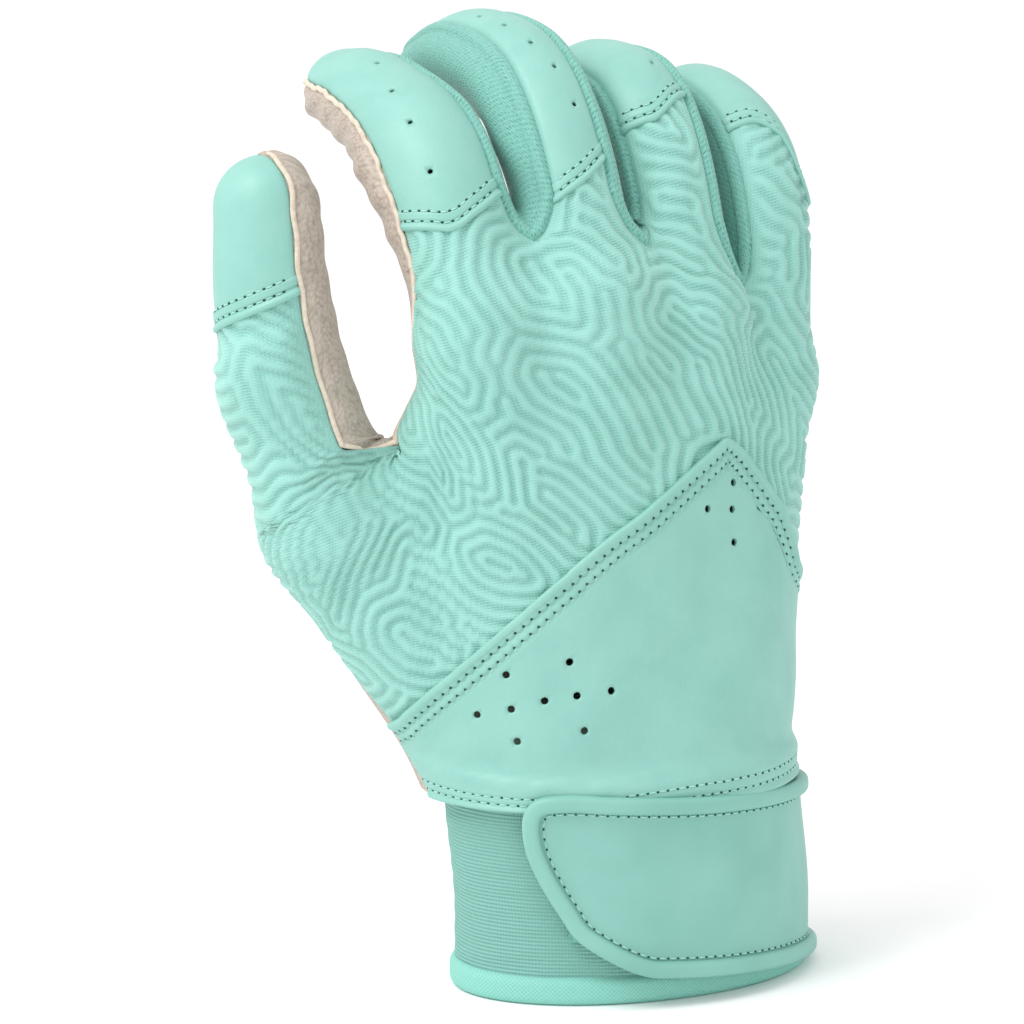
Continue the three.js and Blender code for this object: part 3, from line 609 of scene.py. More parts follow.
for web in ALL_WEBS:
    turn = np.radians(np.linspace(-web["tilt"], web["front_tilt"], CREST_CELLS + 1))
    web["line"], _ = cast(np.repeat(web["core"][None], len(turn), 0),
                          np.stack([turn * 0, np.sin(turn), np.cos(turn)], -1))


def web_beside(name, side):
    """The web on a digit's left (side 0) or right (side 1), or None."""
    found = [web for web in WEBS if web["fingers"][1 - side] == name]
    return THUMB_WEB if (name, side) == ("thumb", 1) else found[0] if found else None


SECTION_EDGES = np.concatenate([[0], (KNUCKLE_SHARES[:-1] + KNUCKLE_SHARES[1:]) / 2, [1]])


def crotch_length(name):
    """How far along a digit the saddles beside it lie."""
    if name == "thumb":
        return THUMB_CROTCH
    digit = DIGITS[name]
    cores = [web["core"][2] for web in (web_beside(name, 0), web_beside(name, 1)) if web]
    rise = digit["line"][:, 2] - digit["line"][0, 2]
    lengths = np.linspace(0, digit["length"], LINE_SAMPLES)
    return float(np.interp(np.mean(cores) - digit["knuckle"][2], rise[:RISING_SAMPLES],
                           lengths[:RISING_SAMPLES]))

def own_ring(name, angles, length):
    """Points on a digit's own tube."""
    start, out, girth = digit_ray(DIGITS[name], angles, length)
    return start + out * girth[..., None]


def face_angles(name, side, count=FINGER_CELLS):
    """Angles of a digit's columns from its left seam to its right one, over the back or front."""
    digit = DIGITS[name]
    if side > 0:
        return np.linspace(*digit["back"], count + 1)
    return np.linspace(digit["left"] + 360, digit["right"], count + 1)


def risen(low, high, way):
    """From a saddle to a tube: evenly upwards, and outwards along a quarter circle, so that
    two seams meet in a U. way goes from 0 to 1."""
    curved = np.sqrt(1 - (1 - way) ** 2)
    share = np.concatenate([curved, curved, way], -1)
    return low + (high - low) * share


def face_points(name, side, lengths):
    """Rough points of a digit's back (side 1) or front (-1), a row for each row of lengths. Below
    the plain tube, the seams curve down to the saddle's end, and the columns near them are drawn
    along."""
    angles = face_angles(name, side)
    lengths = np.broadcast_to(lengths, (len(lengths), len(angles)))
    points = own_ring(name, angles[None], lengths)
    share = np.linspace(0, 1, len(angles))
    low, high = crotch_length(name), crotch_length(name) + RING_RISE
    for end in (0, 1):
        web = web_beside(name, end)
        if web is None:
            continue
        length = lengths[:, -end]
        way = np.clip((length - low) / (high - low), 0, 1)[:, None]
        saddle = web["line"][0 if side > 0 else -1]
        seam = risen(saddle, own_ring(name, angles[-end], high), way)
        pull = (seam - own_ring(name, angles[-end], length)) * (length < high)[:, None]
        near = smooth(1 - np.abs(share - end) / 0.6)
        points = points + near[None, :, None] * pull[:, None]
    return points


def between(low, high, count):
    """Rows of points from one row to another in straight lines, the first one left out."""
    t = np.arange(1, count + 1)[:, None, None] / count
    return low[None] * (1 - t) + high[None] * t


SADDLE_ROWS = 9


def from_saddle(base, tube_rows):
    """Rough points that rise from a row on a saddle to the first row of a tube and go on up it."""
    way = np.linspace(0, 1, SADDLE_ROWS)[:, None, None]
    return np.concatenate([risen(base, tube_rows[0], way), tube_rows[1:]])


def filled(points, out, cell, per_cell=None):
    """A coarse grid of points filled in to cells of about the given size in mm, or to a number of
    columns for each coarse one."""
    tall = np.linalg.norm(np.diff(points, axis=0), axis=2).sum(0).mean()
    wide = np.linalg.norm(np.diff(points, axis=1), axis=2).sum(1).max()
    rows, columns = max(5, round(tall / cell) + 1), max(5, round(wide / cell) + 1)
    if per_cell:
        columns = (points.shape[1] - 1) * per_cell + 1
    return refine(points, rows, columns), refine(out, rows, columns)


def unrolled(points, across=None, up=None):
    """Flat coordinates in mm: along each row from the middle column, and up each column.
    across and up are the first row's own coordinates, where another panel gives them."""
    sizes = edge_lengths(points)
    middle = points.shape[1] // 2
    flat_a = sizes["left"] - sizes["left"][:, middle:middle + 1]
    flat_b = sizes["low"]
    if across is not None:
        flat_a = flat_a + across[middle]
        flat_b = flat_b + up[None]
    return np.stack([flat_a, flat_b], -1)


print("crotches at", {name: round(crotch_length(name), 1) for name in DIGITS})

# %% [markdown]
# Finishes
#
# Ten materials make the glove. Each is named for what the real one is. Their patterns run in
# the flat coordinates of the panels, in millimetres, so a rib is as fine on a thumb as on the
# back of the hand. The fine weave is bump, and the larger raised forms are in the meshes.

# %% Colours and nodes
def linear(code):
    """An sRGB hex colour as the linear RGBA that the nodes take."""
    parts = [int(code[k:k + 2], 16) / 255 for k in (1, 3, 5)]
    return [p / 12.92 if p <= 0.04045 else ((p + 0.055) / 1.055) ** 2.4 for p in parts] + [1.0]


def add(tree, kind, inputs, output=0, **settings):
    """Adds one node and gives one of its outputs. inputs maps a socket's name or number to a value
    or to the output that feeds it. settings are the node's own properties."""
    made = tree.nodes.new("ShaderNode" + kind)
    for key, value in settings.items():
        setattr(made, key, value)
    for key, value in inputs.items():
        if isinstance(value, bpy.types.NodeSocket):
            tree.links.new(value, made.inputs[key])
        else:
            made.inputs[key].default_value = value
    return made.outputs[output] if made.outputs else made


def new_material(name, finish):
    """A material with one Principled shader and its output. finish holds the shader's values."""
    material = bpy.data.materials.new(name)
    material.use_nodes = True
    tree = material.node_tree
    tree.nodes.clear()
    add(tree, "OutputMaterial", {"Surface": add(tree, "BsdfPrincipled", finish)})
    return material, tree


def ripple(tree, flat, way, pitch):
    """Straight ridges over a flat panel, one for every pitch in mm: sin(2 pi way . flat / pitch)."""
    scaled = [2 * math.pi / pitch * part for part in way]
    turn = add(tree, "VectorMath", {0: flat, 1: scaled}, "Value", operation="DOT_PRODUCT")
    return add(tree, "Math", {0: turn}, operation="SINE")


def dress(tree, tint, stops, height=None, depth=0.0):
    """Colours a tree's shader by a tint of 0 to 1 through a ramp of (place, hex) stops, and gives
    it a bump that is depth mm high for a height of 1."""
    shader = tree.nodes["Principled BSDF"]
    colour = add(tree, "ValToRGB", {"Fac": tint})
    elements = colour.node.color_ramp.elements
    while len(elements) < len(stops):
        elements.new(0.5)
    for element, (place, code) in zip(elements, stops):
        element.position, element.color = place, linear(code)
    tree.links.new(colour, shader.inputs["Base Color"])
    if height is not None:
        bump = add(tree, "Bump", {"Height": height, "Distance": depth * MM, "Strength": 1.0})
        tree.links.new(bump, shader.inputs["Normal"])


# Ways over a flat panel
ACROSS, UP, RISING, FALLING = (1, 0, 0), (0, 1, 0), (1, 1, 0), (1, -1, 0)
print("sea green in linear values:", [round(value, 3) for value in linear("#8bc3b8")])

# %% [markdown]
# Stretch knit: polyester and elastane, warp-knitted, embossed with heat. The eye gets a matt
# cloth with a fine level rib, and a soft sheen where it turns away.

# %% Stretch knit
RIB_PITCH = 0.62        # the rib's rows, drawn a little coarser than they are so that they show
knit, tree = new_material("stretch_knit", {"Roughness": 0.72, "Sheen Weight": 0.25, "Sheen Roughness": 0.5})
flat = add(tree, "UVMap", {}, uv_map="flat")
rib, yarn = ripple(tree, flat, UP, RIB_PITCH), ripple(tree, flat, ACROSS, RIB_PITCH * 1.3)
weave = add(tree, "Math", {0: yarn, 1: 0.45, 2: rib}, operation="MULTIPLY_ADD")
# On the tops of the raised pattern the weave is pressed flatter
ridge = add(tree, "Attribute", {}, "Fac", attribute_name="ridge")
pressed = add(tree, "Math", {0: ridge, 1: -0.6, 2: 1.0}, operation="MULTIPLY_ADD")
weave = add(tree, "Math", {0: weave, 1: pressed}, operation="MULTIPLY")
cloud = add(tree, "TexNoise", {"Vector": flat, "Scale": 0.09, "Detail": 3.0, "Roughness": 0.55})
tone = add(tree, "Math", {0: weave, 1: 0.2, 2: cloud}, operation="MULTIPLY_ADD")
# Painted highlight on the pattern's ridges and painted shade in its grooves: the colour follows their
# height
raised = add(tree, "Math", {0: ridge, 1: 0.5}, operation="SUBTRACT")
tone = add(tree, "Math", {0: raised, 1: 0.28, 2: tone}, operation="MULTIPLY_ADD")
dress(tree, tone, [(0.15, "#7ab5aa"), (0.5, "#8bc3b8"), (0.85, "#94ccc2")], weave, 0.05)
print(knit.name, "made")

# %% [markdown]
# Smooth synthetic leather: polyurethane on a knit backing, with a fine moulded grain. The eye
# gets a satin skin, a little lighter than the cloth.

# %% Smooth synthetic leather
smooth_leather, tree = new_material("smooth_synthetic_leather", {
    "Roughness": 0.5, "Coat Weight": 0.06, "Coat Roughness": 0.4})
flat = add(tree, "UVMap", {}, uv_map="flat")
grain = add(tree, "TexVoronoi", {"Vector": flat, "Scale": 1.9, "Randomness": 1.0}, feature="F1")
cloud = add(tree, "TexNoise", {"Vector": flat, "Scale": 0.07, "Detail": 4.0, "Roughness": 0.6})
dress(tree, cloud, [(0.25, "#7eb6ab"), (0.5, "#86bcb1"), (0.75, "#8cc1b6")], grain, 0.03)
print(smooth_leather.name, "made")

# %% [markdown]
# Side mesh: an open warp knit. Its threads cross in small diamonds, and between them the eye
# looks into deep green shade.

# %% Side mesh
MESH_PITCH = 0.85       # from one stitch of the knit to the next
side_mesh, tree = new_material("open_warp_mesh", {"Roughness": 0.8, "Sheen Weight": 0.2})
flat = add(tree, "UVMap", {}, uv_map="flat")
strands = add(tree, "Math", {0: ripple(tree, flat, RISING, MESH_PITCH * 1.4),
                             1: ripple(tree, flat, FALLING, MESH_PITCH * 1.4)}, operation="MAXIMUM")
fleck = add(tree, "TexNoise", {"Vector": flat, "Scale": 2.0, "Detail": 2.0, "Roughness": 0.7})
tone = add(tree, "Math", {0: strands, 1: 0.14, 2: fleck}, operation="MULTIPLY_ADD")
# The darkest colour, between the strands, is painted shade: the mesh's openings are not cut through
dress(tree, tone, [(0.2, "#3e7e71"), (0.45, "#6caca0"), (0.8, "#87c2b6")], tone, 0.22)
print(side_mesh.name, "made")

# %% [markdown]
# Palm leather: thin goatskin, tanned and dyed a warm stone colour. Its grain stands in small
# pebbles of uneven shape, and its cut edges are paler.

# %% Palm leather
PEBBLE = 0.7            # mm across one pebble of the grain
goatskin, tree = new_material("pebbled_goatskin", {"Roughness": 0.6})
flat = add(tree, "UVMap", {}, uv_map="flat")
shift = add(tree, "TexNoise", {"Vector": flat, "Scale": 0.5, "Detail": 2.0}, "Color")
bent = add(tree, "MixRGB", {0: 0.35, 1: flat, 2: shift}, blend_type="ADD")
groove = add(tree, "TexVoronoi", {"Vector": bent, "Scale": 1 / PEBBLE}, feature="SMOOTH_F1")
pebbles = add(tree, "Math", {0: 1.0, 1: groove}, operation="SUBTRACT")
dress(tree, groove, [(0.05, "#c0b5a9"), (0.45, "#aea296"), (0.8, "#978b80")], pebbles, 0.09)
print(goatskin.name, "made")

# %% [markdown]
# Elastic cuff, tape and strap: the cuff is a knitted elastic with level ribs, the tape is woven,
# and the strap is a soft moulded rubber with a faint sheen. The small parts need no pattern of
# their own: the leather's cut edge, the hook and loop tape and the thread are only mottled.

# %% Woven and mottled finishes
elastic, tree = new_material("ribbed_elastic", {"Roughness": 0.8})
flat = add(tree, "UVMap", {}, uv_map="flat")
rib, yarn = ripple(tree, flat, UP, 0.8), ripple(tree, flat, ACROSS, 0.7)
weave = add(tree, "Math", {0: yarn, 1: 0.35, 2: rib}, operation="MULTIPLY_ADD")
tone = add(tree, "Math", {0: weave, 1: 0.35, 2: 0.5}, operation="MULTIPLY_ADD")
dress(tree, tone, [(0.0, "#69a499"), (0.5, "#7eb4aa"), (1.0, "#87bbb1")], weave, 0.09)

# The tape is a plain weave: square dots, half of them raised
tape, tree = new_material("folded_woven_tape", {"Roughness": 0.7})
flat = add(tree, "UVMap", {}, uv_map="flat")
weft, warp = ripple(tree, flat, ACROSS, 0.9), ripple(tree, flat, UP, 0.9)
weave = add(tree, "Math", {0: weft, 1: warp}, operation="MULTIPLY")
tone = add(tree, "Math", {0: weave, 1: 0.5, 2: 0.5}, operation="MULTIPLY_ADD")
dress(tree, tone, [(0.0, "#7abeb1"), (0.5, "#87cabc"), (1.0, "#91d0c4")], weave, 0.05)


def mottled(name, roughness, scale, detail, colours, relief=0.0):
    """A material clouded between two colours by noise in the object's own space, which is also
    its relief in mm where one is given."""
    made, tree = new_material(name, {"Roughness": roughness})
    place = add(tree, "TexCoord", {}, "Object")
    cloud = add(tree, "TexNoise", {"Vector": place, "Scale": scale, "Detail": detail})
    dress(tree, cloud, list(zip((0.3, 0.7), colours)), cloud if relief else None, relief)
    return made


# The fibres of the cut edge, the dull skin of the rubber, the fuzz of the tape, the thread's twist
raw_edge = mottled("raw_leather_edge", 0.85, 900, 2, ("#c8baa8", "#dccfbf"))
rubber = mottled("moulded_soft_rubber", 0.48, 60, 5, ("#78b1a5", "#84bbb0"))
fastener = mottled("hook_and_loop_tape", 0.95, 1500, 3, ("#609e90", "#84bcb0"), 0.4)
thread = mottled("bonded_polyester_thread", 0.5, 2500, 2, ("#90c9bd", "#a5d9ce"))
print("finishes:", len(bpy.data.materials))

# %% [markdown]
# The raised pattern of the knit
#
# The cloth is embossed with rounded ridges that wander, join and close into loops. A pattern like
# it grows by itself: start from noise, let waves of one length win, and stop them growing too
# tall. That is the Swift-Hohenberg equation, solved here on a repeating square by Fourier steps.

# %% Labyrinth
MAZE_CELLS, MAZE_CELL, MAZE_PITCH = 512, 0.4, 3.5


def grow_labyrinth(seed=4, centres=70, rounds=70, step=0.6, drive=0.5):
    """Starts as rings round scattered centres, cos(k0 * distance to the nearest centre), with a
    little noise. Each round: u grows by drive*u - (1 + laplacian/k0^2)^2 u - u^3, the linear part
    taken implicitly in Fourier space."""
    draw, side = np.random.default_rng(seed), MAZE_CELLS * MAZE_CELL
    grid = np.arange(MAZE_CELLS) * MAZE_CELL
    nearest = np.full((MAZE_CELLS, MAZE_CELLS), np.inf)
    for x, y, squeeze in draw.uniform([0, 0, 0.6], [side, side, 1.5], (centres, 3)):
        dx = (grid[None] - x + side / 2) % side - side / 2
        dy = (grid[:, None] - y + side / 2) % side - side / 2
        nearest = np.minimum(nearest, np.hypot(dx * squeeze + dy * 0.4, dy / squeeze))
    u = 0.5 * np.cos(2 * np.pi * nearest / MAZE_PITCH) + draw.normal(0, 0.2, nearest.shape)
    waves_of = 2 * np.pi * np.fft.fftfreq(MAZE_CELLS, MAZE_CELL)
    k2 = waves_of[:, None] ** 2 + waves_of[None, :MAZE_CELLS // 2 + 1] ** 2
    damping = 1 - step * (drive - (1 - k2 * (MAZE_PITCH / (2 * np.pi)) ** 2) ** 2)
    for _ in range(rounds):
        u = np.fft.irfft2((np.fft.rfft2(u) + step * np.fft.rfft2(-u ** 3)) / damping, s=u.shape)
    return u / np.abs(u).max()


maze = grow_labyrinth()


def embossing(flat):
    """Height from 0 to 1 of the ridges at flat coordinates: the labyrinth read between its four
    nearest cells, then pressed to rounded ridges with narrower grooves."""
    at = flat / MAZE_CELL
    cell = np.floor(at).astype(int)
    part = at - cell
    i, j = cell[..., 1] % MAZE_CELLS, cell[..., 0] % MAZE_CELLS
    i2, j2 = (i + 1) % MAZE_CELLS, (j + 1) % MAZE_CELLS
    p, q = part[..., 1], part[..., 0]
    value = (maze[i, j] * (1 - p) * (1 - q) + maze[i2, j] * p * (1 - q)
             + maze[i, j2] * (1 - p) * q + maze[i2, j2] * p * q)
    return 0.5 + 0.5 * np.tanh(4.0 * (value + 0.12))


whole_maze = embossing(np.indices(maze.shape).T * MAZE_CELL)
print("labyrinth ridges cover", round(float((whole_maze > 0.5).mean()), 2))

# %% [markdown]
# The back of the hand
#
# One sheet of knit covers the back from the wrist panel up to the knuckles, and reaches round the
# ball of the thumb. It is stretched between two rows: the seam under the wrist panel, and the
# line where the digits start. Its relief is the embossing, which dies out at the sewn sides.

# %% Wrist seam and back panel
WALL = 1.0
# The wrist panel's upper edge as the photograph shows it, in pixels from left to right
SEAM_PIXELS = [(400, 718), (418, 700), (459, 666), (507, 625), (552, 585), (604, 540), (640, 513),
               (680, 477), (714, 446), (726, 438), (744, 454), (762, 479), (780, 507), (789, 534),
               (793, 558)]
SEAM_FALL = (2, 8)      # mm that the edge falls past the first and the last of them
seam_line = cubic_weights(len(SEAM_PIXELS), 12 * len(SEAM_PIXELS)) @ np.array(SEAM_PIXELS, float)
seam_points = seen(seam_line)
seam_across = across_at(seam_points)
order = np.argsort(seam_across)
seam_heights = seam_points[order, 2]
SEAM_FINE = np.linspace(-0.05, 1.05, 1101)
seam_rough = np.interp(SEAM_FINE, np.concatenate([[-0.01], seam_across[order], [1.01]]), np.concatenate([
    [seam_heights[0] - SEAM_FALL[0]], seam_heights, [seam_heights[-1] - SEAM_FALL[1]]]))


def blurred(values, count):
    """Each value mixed with its neighbours by the weights of a Hann window of count values."""
    window = np.hanning(count)
    return np.convolve(np.pad(values, (count - 3) // 2, "edge"), window[1:-1] / window.sum(), "valid")


seam_smooth = blurred(seam_rough, 19)


def wrist_seam(across):
    """Height of the wrist panel's upper edge, with its corners eased over a few millimetres."""
    return np.interp(across, SEAM_FINE, seam_smooth)


RADIAL_CELLS = 10       # coarse columns between the thumb's web and the index finger
SEAM_UNDERLAP = 3.0     # the back runs this far under the wrist panel
# The edge between knit and leather from the thumb's crotch up to the index finger
RADIAL_PIXELS = [(396, 424), (405, 402), (410, 385), (413, 362), (414, 338)]
top_rows = {(name, side): settle(face_points(name, side, np.array([[crotch_length(name)]])))[0][0]
            for name in DIGITS for side in (1, -1)}
radial = np.concatenate([THUMB_WEB["line"][:1], seen(RADIAL_PIXELS), top_rows["index", 1][:1]])
radial = settle(evened(radial, RADIAL_CELLS + 1))[0]
finger_across = np.concatenate([np.linspace(low, high, FINGER_CELLS + 1)[1:]
                                for low, high in zip(SECTION_EDGES, SECTION_EDGES[1:])])


def hand_sheet(side, low_height, crest, shares, rows):
    """A sheet from its lower edge to the crotches: rough points in straight lines between the two
    rows, the outer columns by way of the wrist seam's ends, all of them drawn to the skin and then
    evened out. shares say where the thumb, its web and the index finger begin on the lower edge."""
    thumb, web, index = shares
    low_across = np.concatenate([
        np.linspace(0, thumb, FINGER_CELLS + 1), np.linspace(thumb, web, len(crest) + 1)[1:],
        np.linspace(web, index, RADIAL_CELLS + 1)[1:], index + (1 - index) * finger_across])
    low, _ = cast(*hand_ray(side, low_across, low_height(low_across)))
    top = np.concatenate([top_rows["thumb", side], crest, radial[1:]]
                         + [top_rows[name, side][1:] for name in FINGERS])
    points = np.concatenate([low[None], between(low, top, rows)])
    ends = np.array([0.0, 1.0])
    corners, _ = cast(*hand_ray(1, ends, wrist_seam(ends)))
    for column, corner in ((0, corners[0]), (-1, corners[1])):
        by_way = [corner] if low[column, 2] < corner[2] - 4 else []
        points[:, column] = evened([low[column], *by_way, top[column]], rows + 1)
    points, out = settle(points, 10)
    edge = points.copy()
    for _ in range(8):
        mean = (points[:-2, 1:-1] + points[2:, 1:-1] + points[1:-1, :-2] + points[1:-1, 2:]) / 4
        points[1:-1, 1:-1] = 0.5 * points[1:-1, 1:-1] + 0.5 * mean
        points, out = settle(points, 2)
        points[[0, -1]], points[:, [0, -1]] = edge[[0, -1]], edge[:, [0, -1]]
    points[-1] = top
    return points, out


back_points, back_out = hand_sheet(1, lambda across: wrist_seam(across) - SEAM_UNDERLAP,
                                   np.zeros((0, 3)), (0.14, 0.14, 0.24), 16)
# The fine cells of the knit in mm, the height of its ridges, and fine columns to a coarse one
EMBOSS_CELL, EMBOSS, KNIT_COLUMNS = 0.55, 0.6, 5
BASE_ROWS = 6           # rows that a sleeve takes over from the back
JOIN_ROWS = 14          # rows over which a sleeve eases away from the back's edge


def knit_panel(name, points, out, base=None, full=0.0):
    """A panel of embossed knit, whose ridges fade within a few millimetres of its sides. base
    holds another panel's last few rows, with their flat coordinates and lift: this one starts at
    the last of them and tucks under the others. full is how far the fabric swells out below its
    upper edge."""
    points, out = filled(points, out, EMBOSS_CELL, KNIT_COLUMNS)
    row = np.arange(len(points))[:, None]
    if base is None:
        flat = unrolled(points, edge_lengths(points[:1])["left"][0], points[0, :, 2])
    else:
        base_points, base_flat, base_lift = base
        near = np.clip(1 - row / JOIN_ROWS, 0, 1)
        points = points + (base_points[-1] - points[0]) * near[..., None]
        flat = unrolled(points, base_flat[-1, :, 0], base_flat[-1, :, 1])
    sizes = edge_lengths(points)
    fading = smooth((sizes["left"] - 1.0) / 2.5) * smooth((sizes["right"] - 1.0) / 2.5)
    ridge = 0.5 + (embossing(flat) - 0.5) * fading
    swelling = bell(sizes["high"], 15, 12) * smooth((sizes["high"] - 3) / 6)
    swelling = swelling * smooth(sizes["left"] / 7) * smooth(sizes["right"] / 7)
    lift = EMBOSS * (ridge - 0.5) + full * swelling + seam_dip(sizes)
    if base is not None:
        lift = lift + (base_lift[-1] - lift[0]) * np.clip(1 - row / BASE_ROWS, 0, 1)
        tuck = np.linspace(0.5, 0.2, len(base_points) - 1)[:, None]
        points = np.concatenate([base_points[:-1], points])
        flat = np.concatenate([base_flat[:-1], flat])
        out = np.concatenate([np.repeat(out[:1], len(tuck), 0), out])
        ridge = np.concatenate([np.full((len(tuck), ridge.shape[1]), 0.5), ridge])
        lift = np.concatenate([base_lift[:-1] - tuck, lift])
    piece = shell(name, points, out, WALL, knit, flat, lift, ridge=ridge)
    return piece, points, flat, lift

def finish_piece(piece, slot, body, *nodes):
    """Hides the frame's parts that a finished piece stands for and hangs it on the body it rides on. slot,
    where its finish comes from, is not used.
    """
    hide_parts(*nodes)
    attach(piece, body)
    return piece


back_panel, *back_rows = knit_panel("back_knit", back_points, back_out)
finish_piece(back_panel, "stretch_fabric", "hand", "back_panel")
print("back panel:", len(back_panel.data.vertices), "vertices")

# %% [markdown]
# The digits' sleeves, caps, fronts and side strips
#
# Every digit is a tube sewn from strips. Up its back runs the knit sleeve, then the smooth cap
# begins at a folded hem. The leather front wraps round its palm side, and between fingers a
# strip of mesh joins the two. All are laid out by the angle round the digit and the length.

# %% Where caps begin
# The lower edge of each cap's hem in the photograph, from left to right
HEM_PIXELS = {
    "index": [(394, 233), (456, 232), (501, 202)],
    "middle": [(561, 206), (591, 174), (625, 136)],
    "ring": [(658, 119), (675, 102), (698, 96), (722, 100)],
    "pinky": [(757, 123), (780, 137), (795, 165), (805, 202)],
    "thumb": [(211, 335), (255, 315), (308, 290)],
}
HEM_WIDTH = 4.8
for name, digit in DIGITS.items():
    angle, length = round_digit(digit, seen(HEM_PIXELS[name]))
    order = np.argsort(angle)
    digit["hem_angles"], digit["hem_lengths"] = angle[order], length[order]
    print(name, "hem angles", angle.round(), "lengths", length.round(1))

def hem_length(name, angles):
    """Length along a digit of its hem's lower edge, at angles round it."""
    return np.interp(angles, DIGITS[name]["hem_angles"], DIGITS[name]["hem_lengths"])


TIP_TURN = math.radians(89)          # a cap closes over its tip as far as this


def tip_length(name):
    """The length at which a digit's panels end, which counts the arc over its tip."""
    return DIGITS[name]["length"] + TIP_TURN * DIGITS[name]["girth"][-1]


def blend_piece(piece, slot, name, *nodes):
    """Hides the frame's parts that a digit's panel stands for, and bakes the panel's place into its mesh.
    """
    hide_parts(*nodes)
    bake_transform(piece)
    return piece


for name, digit in DIGITS.items():
    digit["bend_way"] = bone_direction(digit["pitch"][0] * 0.6, digit["splay"][0])
    digit["bend_from"], digit["bend_over"] = crotch_length(name) + 3, 22.0
DIGITS["thumb"]["bend_from"], DIGITS["thumb"]["bend_over"] = 10.0, 24.0

# %% Sleeves, hems and caps
BAND_LIFT = 0.45        # the hem's band lies this far above the cap
HEM_ROWS = {"low": 2.0, "high": 4.2}     # its rows of stitches, in mm from its lower edge
LIP_WIDTH, LIP_HEIGHT = 0.9, 0.45        # the folded lip along that edge
GROOVE_DEPTH, GROOVE_WIDTH = 0.4, 0.24   # where the thread bites in
CAP_HOLES = {"index": [(378, 63), (393, 90), (410, 123), (430, 172)],
             "middle": [(478, 18), (504, 24), (530, 42), (556, 66), (578, 102)], "ring": [(657, 66)]}
UNDERLAP = 1.5          # the knit runs this far under the hem
THUMB_FULL = 2.6        # the thumb's sleeve swells this much below its hem
hems = {}


def length_rows(low, high, count):
    """Rows of lengths, one for each column, from a low to a high row."""
    t = np.linspace(0, 1, count + 1)[:, None]
    low, high = (np.broadcast_to(row, (1, FINGER_CELLS + 1)) for row in (low, high))
    return low * (1 - t) + high * t


for name in ["thumb"] + FINGERS:
    hem = hem_length(name, face_angles(name, 1))
    first = 0
    if name != "thumb":
        first = (FINGER_CELLS + RADIAL_CELLS + FINGER_CELLS * FINGERS.index(name)) * KNIT_COLUMNS
    part = slice(first, first + FINGER_CELLS * KNIT_COLUMNS + 1)
    points, out = settle(face_points(name, 1, length_rows(crotch_length(name), hem + UNDERLAP, 9)))
    points[0] = top_rows[name, 1]
    sleeve = knit_panel(name + "_knit", points, out, [values[-BASE_ROWS:, part] for values in back_rows],
                        THUMB_FULL if name == "thumb" else 0.0)[0]
    blend_piece(sleeve, "stretch_fabric", name, name + "_sleeve")

    points, out = filled(*settle(face_points(name, 1, length_rows(hem, hem + HEM_WIDTH, 4))), 0.24)
    sizes = edge_lengths(points)
    low_run = sizes["low"]
    rise = np.clip(low_run / LIP_WIDTH, 0, 1)
    lip = LIP_HEIGHT * np.sqrt(1 - (1 - rise) ** 2) * (1 - smooth((low_run - LIP_WIDTH) / 0.7))
    grooves = sum(GROOVE_DEPTH * bell(low_run, at, GROOVE_WIDTH) for at in HEM_ROWS.values())
    lift = BAND_LIFT + lip - grooves - BAND_LIFT * smooth((low_run - HEM_WIDTH + 0.7) / 0.7)
    lift = lift + seam_dip(sizes)
    band = shell(name + "_cap_hem", points, out, WALL + 0.4, smooth_leather, unrolled(points), lift)
    blend_piece(band, "smooth_leather", name, name + "_hem")
    hems[name] = (points, out, low_run, lift)

    rough = face_points(name, 1, length_rows(hem + HEM_WIDTH - 0.2, tip_length(name), 18))
    points, out = filled(*settle(rough), 0.6)
    holes = seen(CAP_HOLES[name]) if name in CAP_HOLES else ()
    cap = shell(name + "_smooth_cap", points, out, WALL, smooth_leather, unrolled(points),
                seam_dip(edge_lengths(points)), holes)
    blend_piece(cap, "smooth_leather", name, name + "_cap")
print("digits' backs done")

# %% Side strips of mesh
EDGE_ROLL = 3.0         # the mesh is folded into a soft roll this wide beside the back's fabric
ROLL_HEIGHT = 0.9
MIDDLE_FULL = 1.8       # the strip between the index and middle finger puffs out this much
STRIPS = [("index", 1), ("middle", 0), ("middle", 1), ("ring", 0), ("ring", 1), ("pinky", 0)]
for name, side in STRIPS:
    digit, web = DIGITS[name], web_beside(name, side)
    side_word = ("left", "right")[side]
    angles = np.linspace(digit["back"][side], digit[side_word], CREST_CELLS + 1)
    lengths = np.linspace(crotch_length(name) + RING_RISE, tip_length(name), 21)[:, None]
    rough = from_saddle(web["line"], own_ring(name, angles[None], lengths))
    points, out = filled(*settle(rough), 0.6)
    sizes = edge_lengths(points)
    lift = seam_dip(sizes, 0.5, 0.7) + ROLL_HEIGHT * arch(sizes["left"], EDGE_ROLL)
    if (name, side) == ("middle", 0):
        wide = sizes["left"] / (sizes["left"] + sizes["right"] + 1e-9)
        lift = lift + MIDDLE_FULL * np.sin(np.pi * wide) ** 2 * smooth((sizes["low"] - 6) / 12)
    strip = shell(f"{name}_{side_word}_strip", points, out, WALL, side_mesh, unrolled(points), lift)
    blend_piece(strip, "side_mesh", name, f"{name}_{side_word}_mesh")
print("strips:", len(STRIPS))

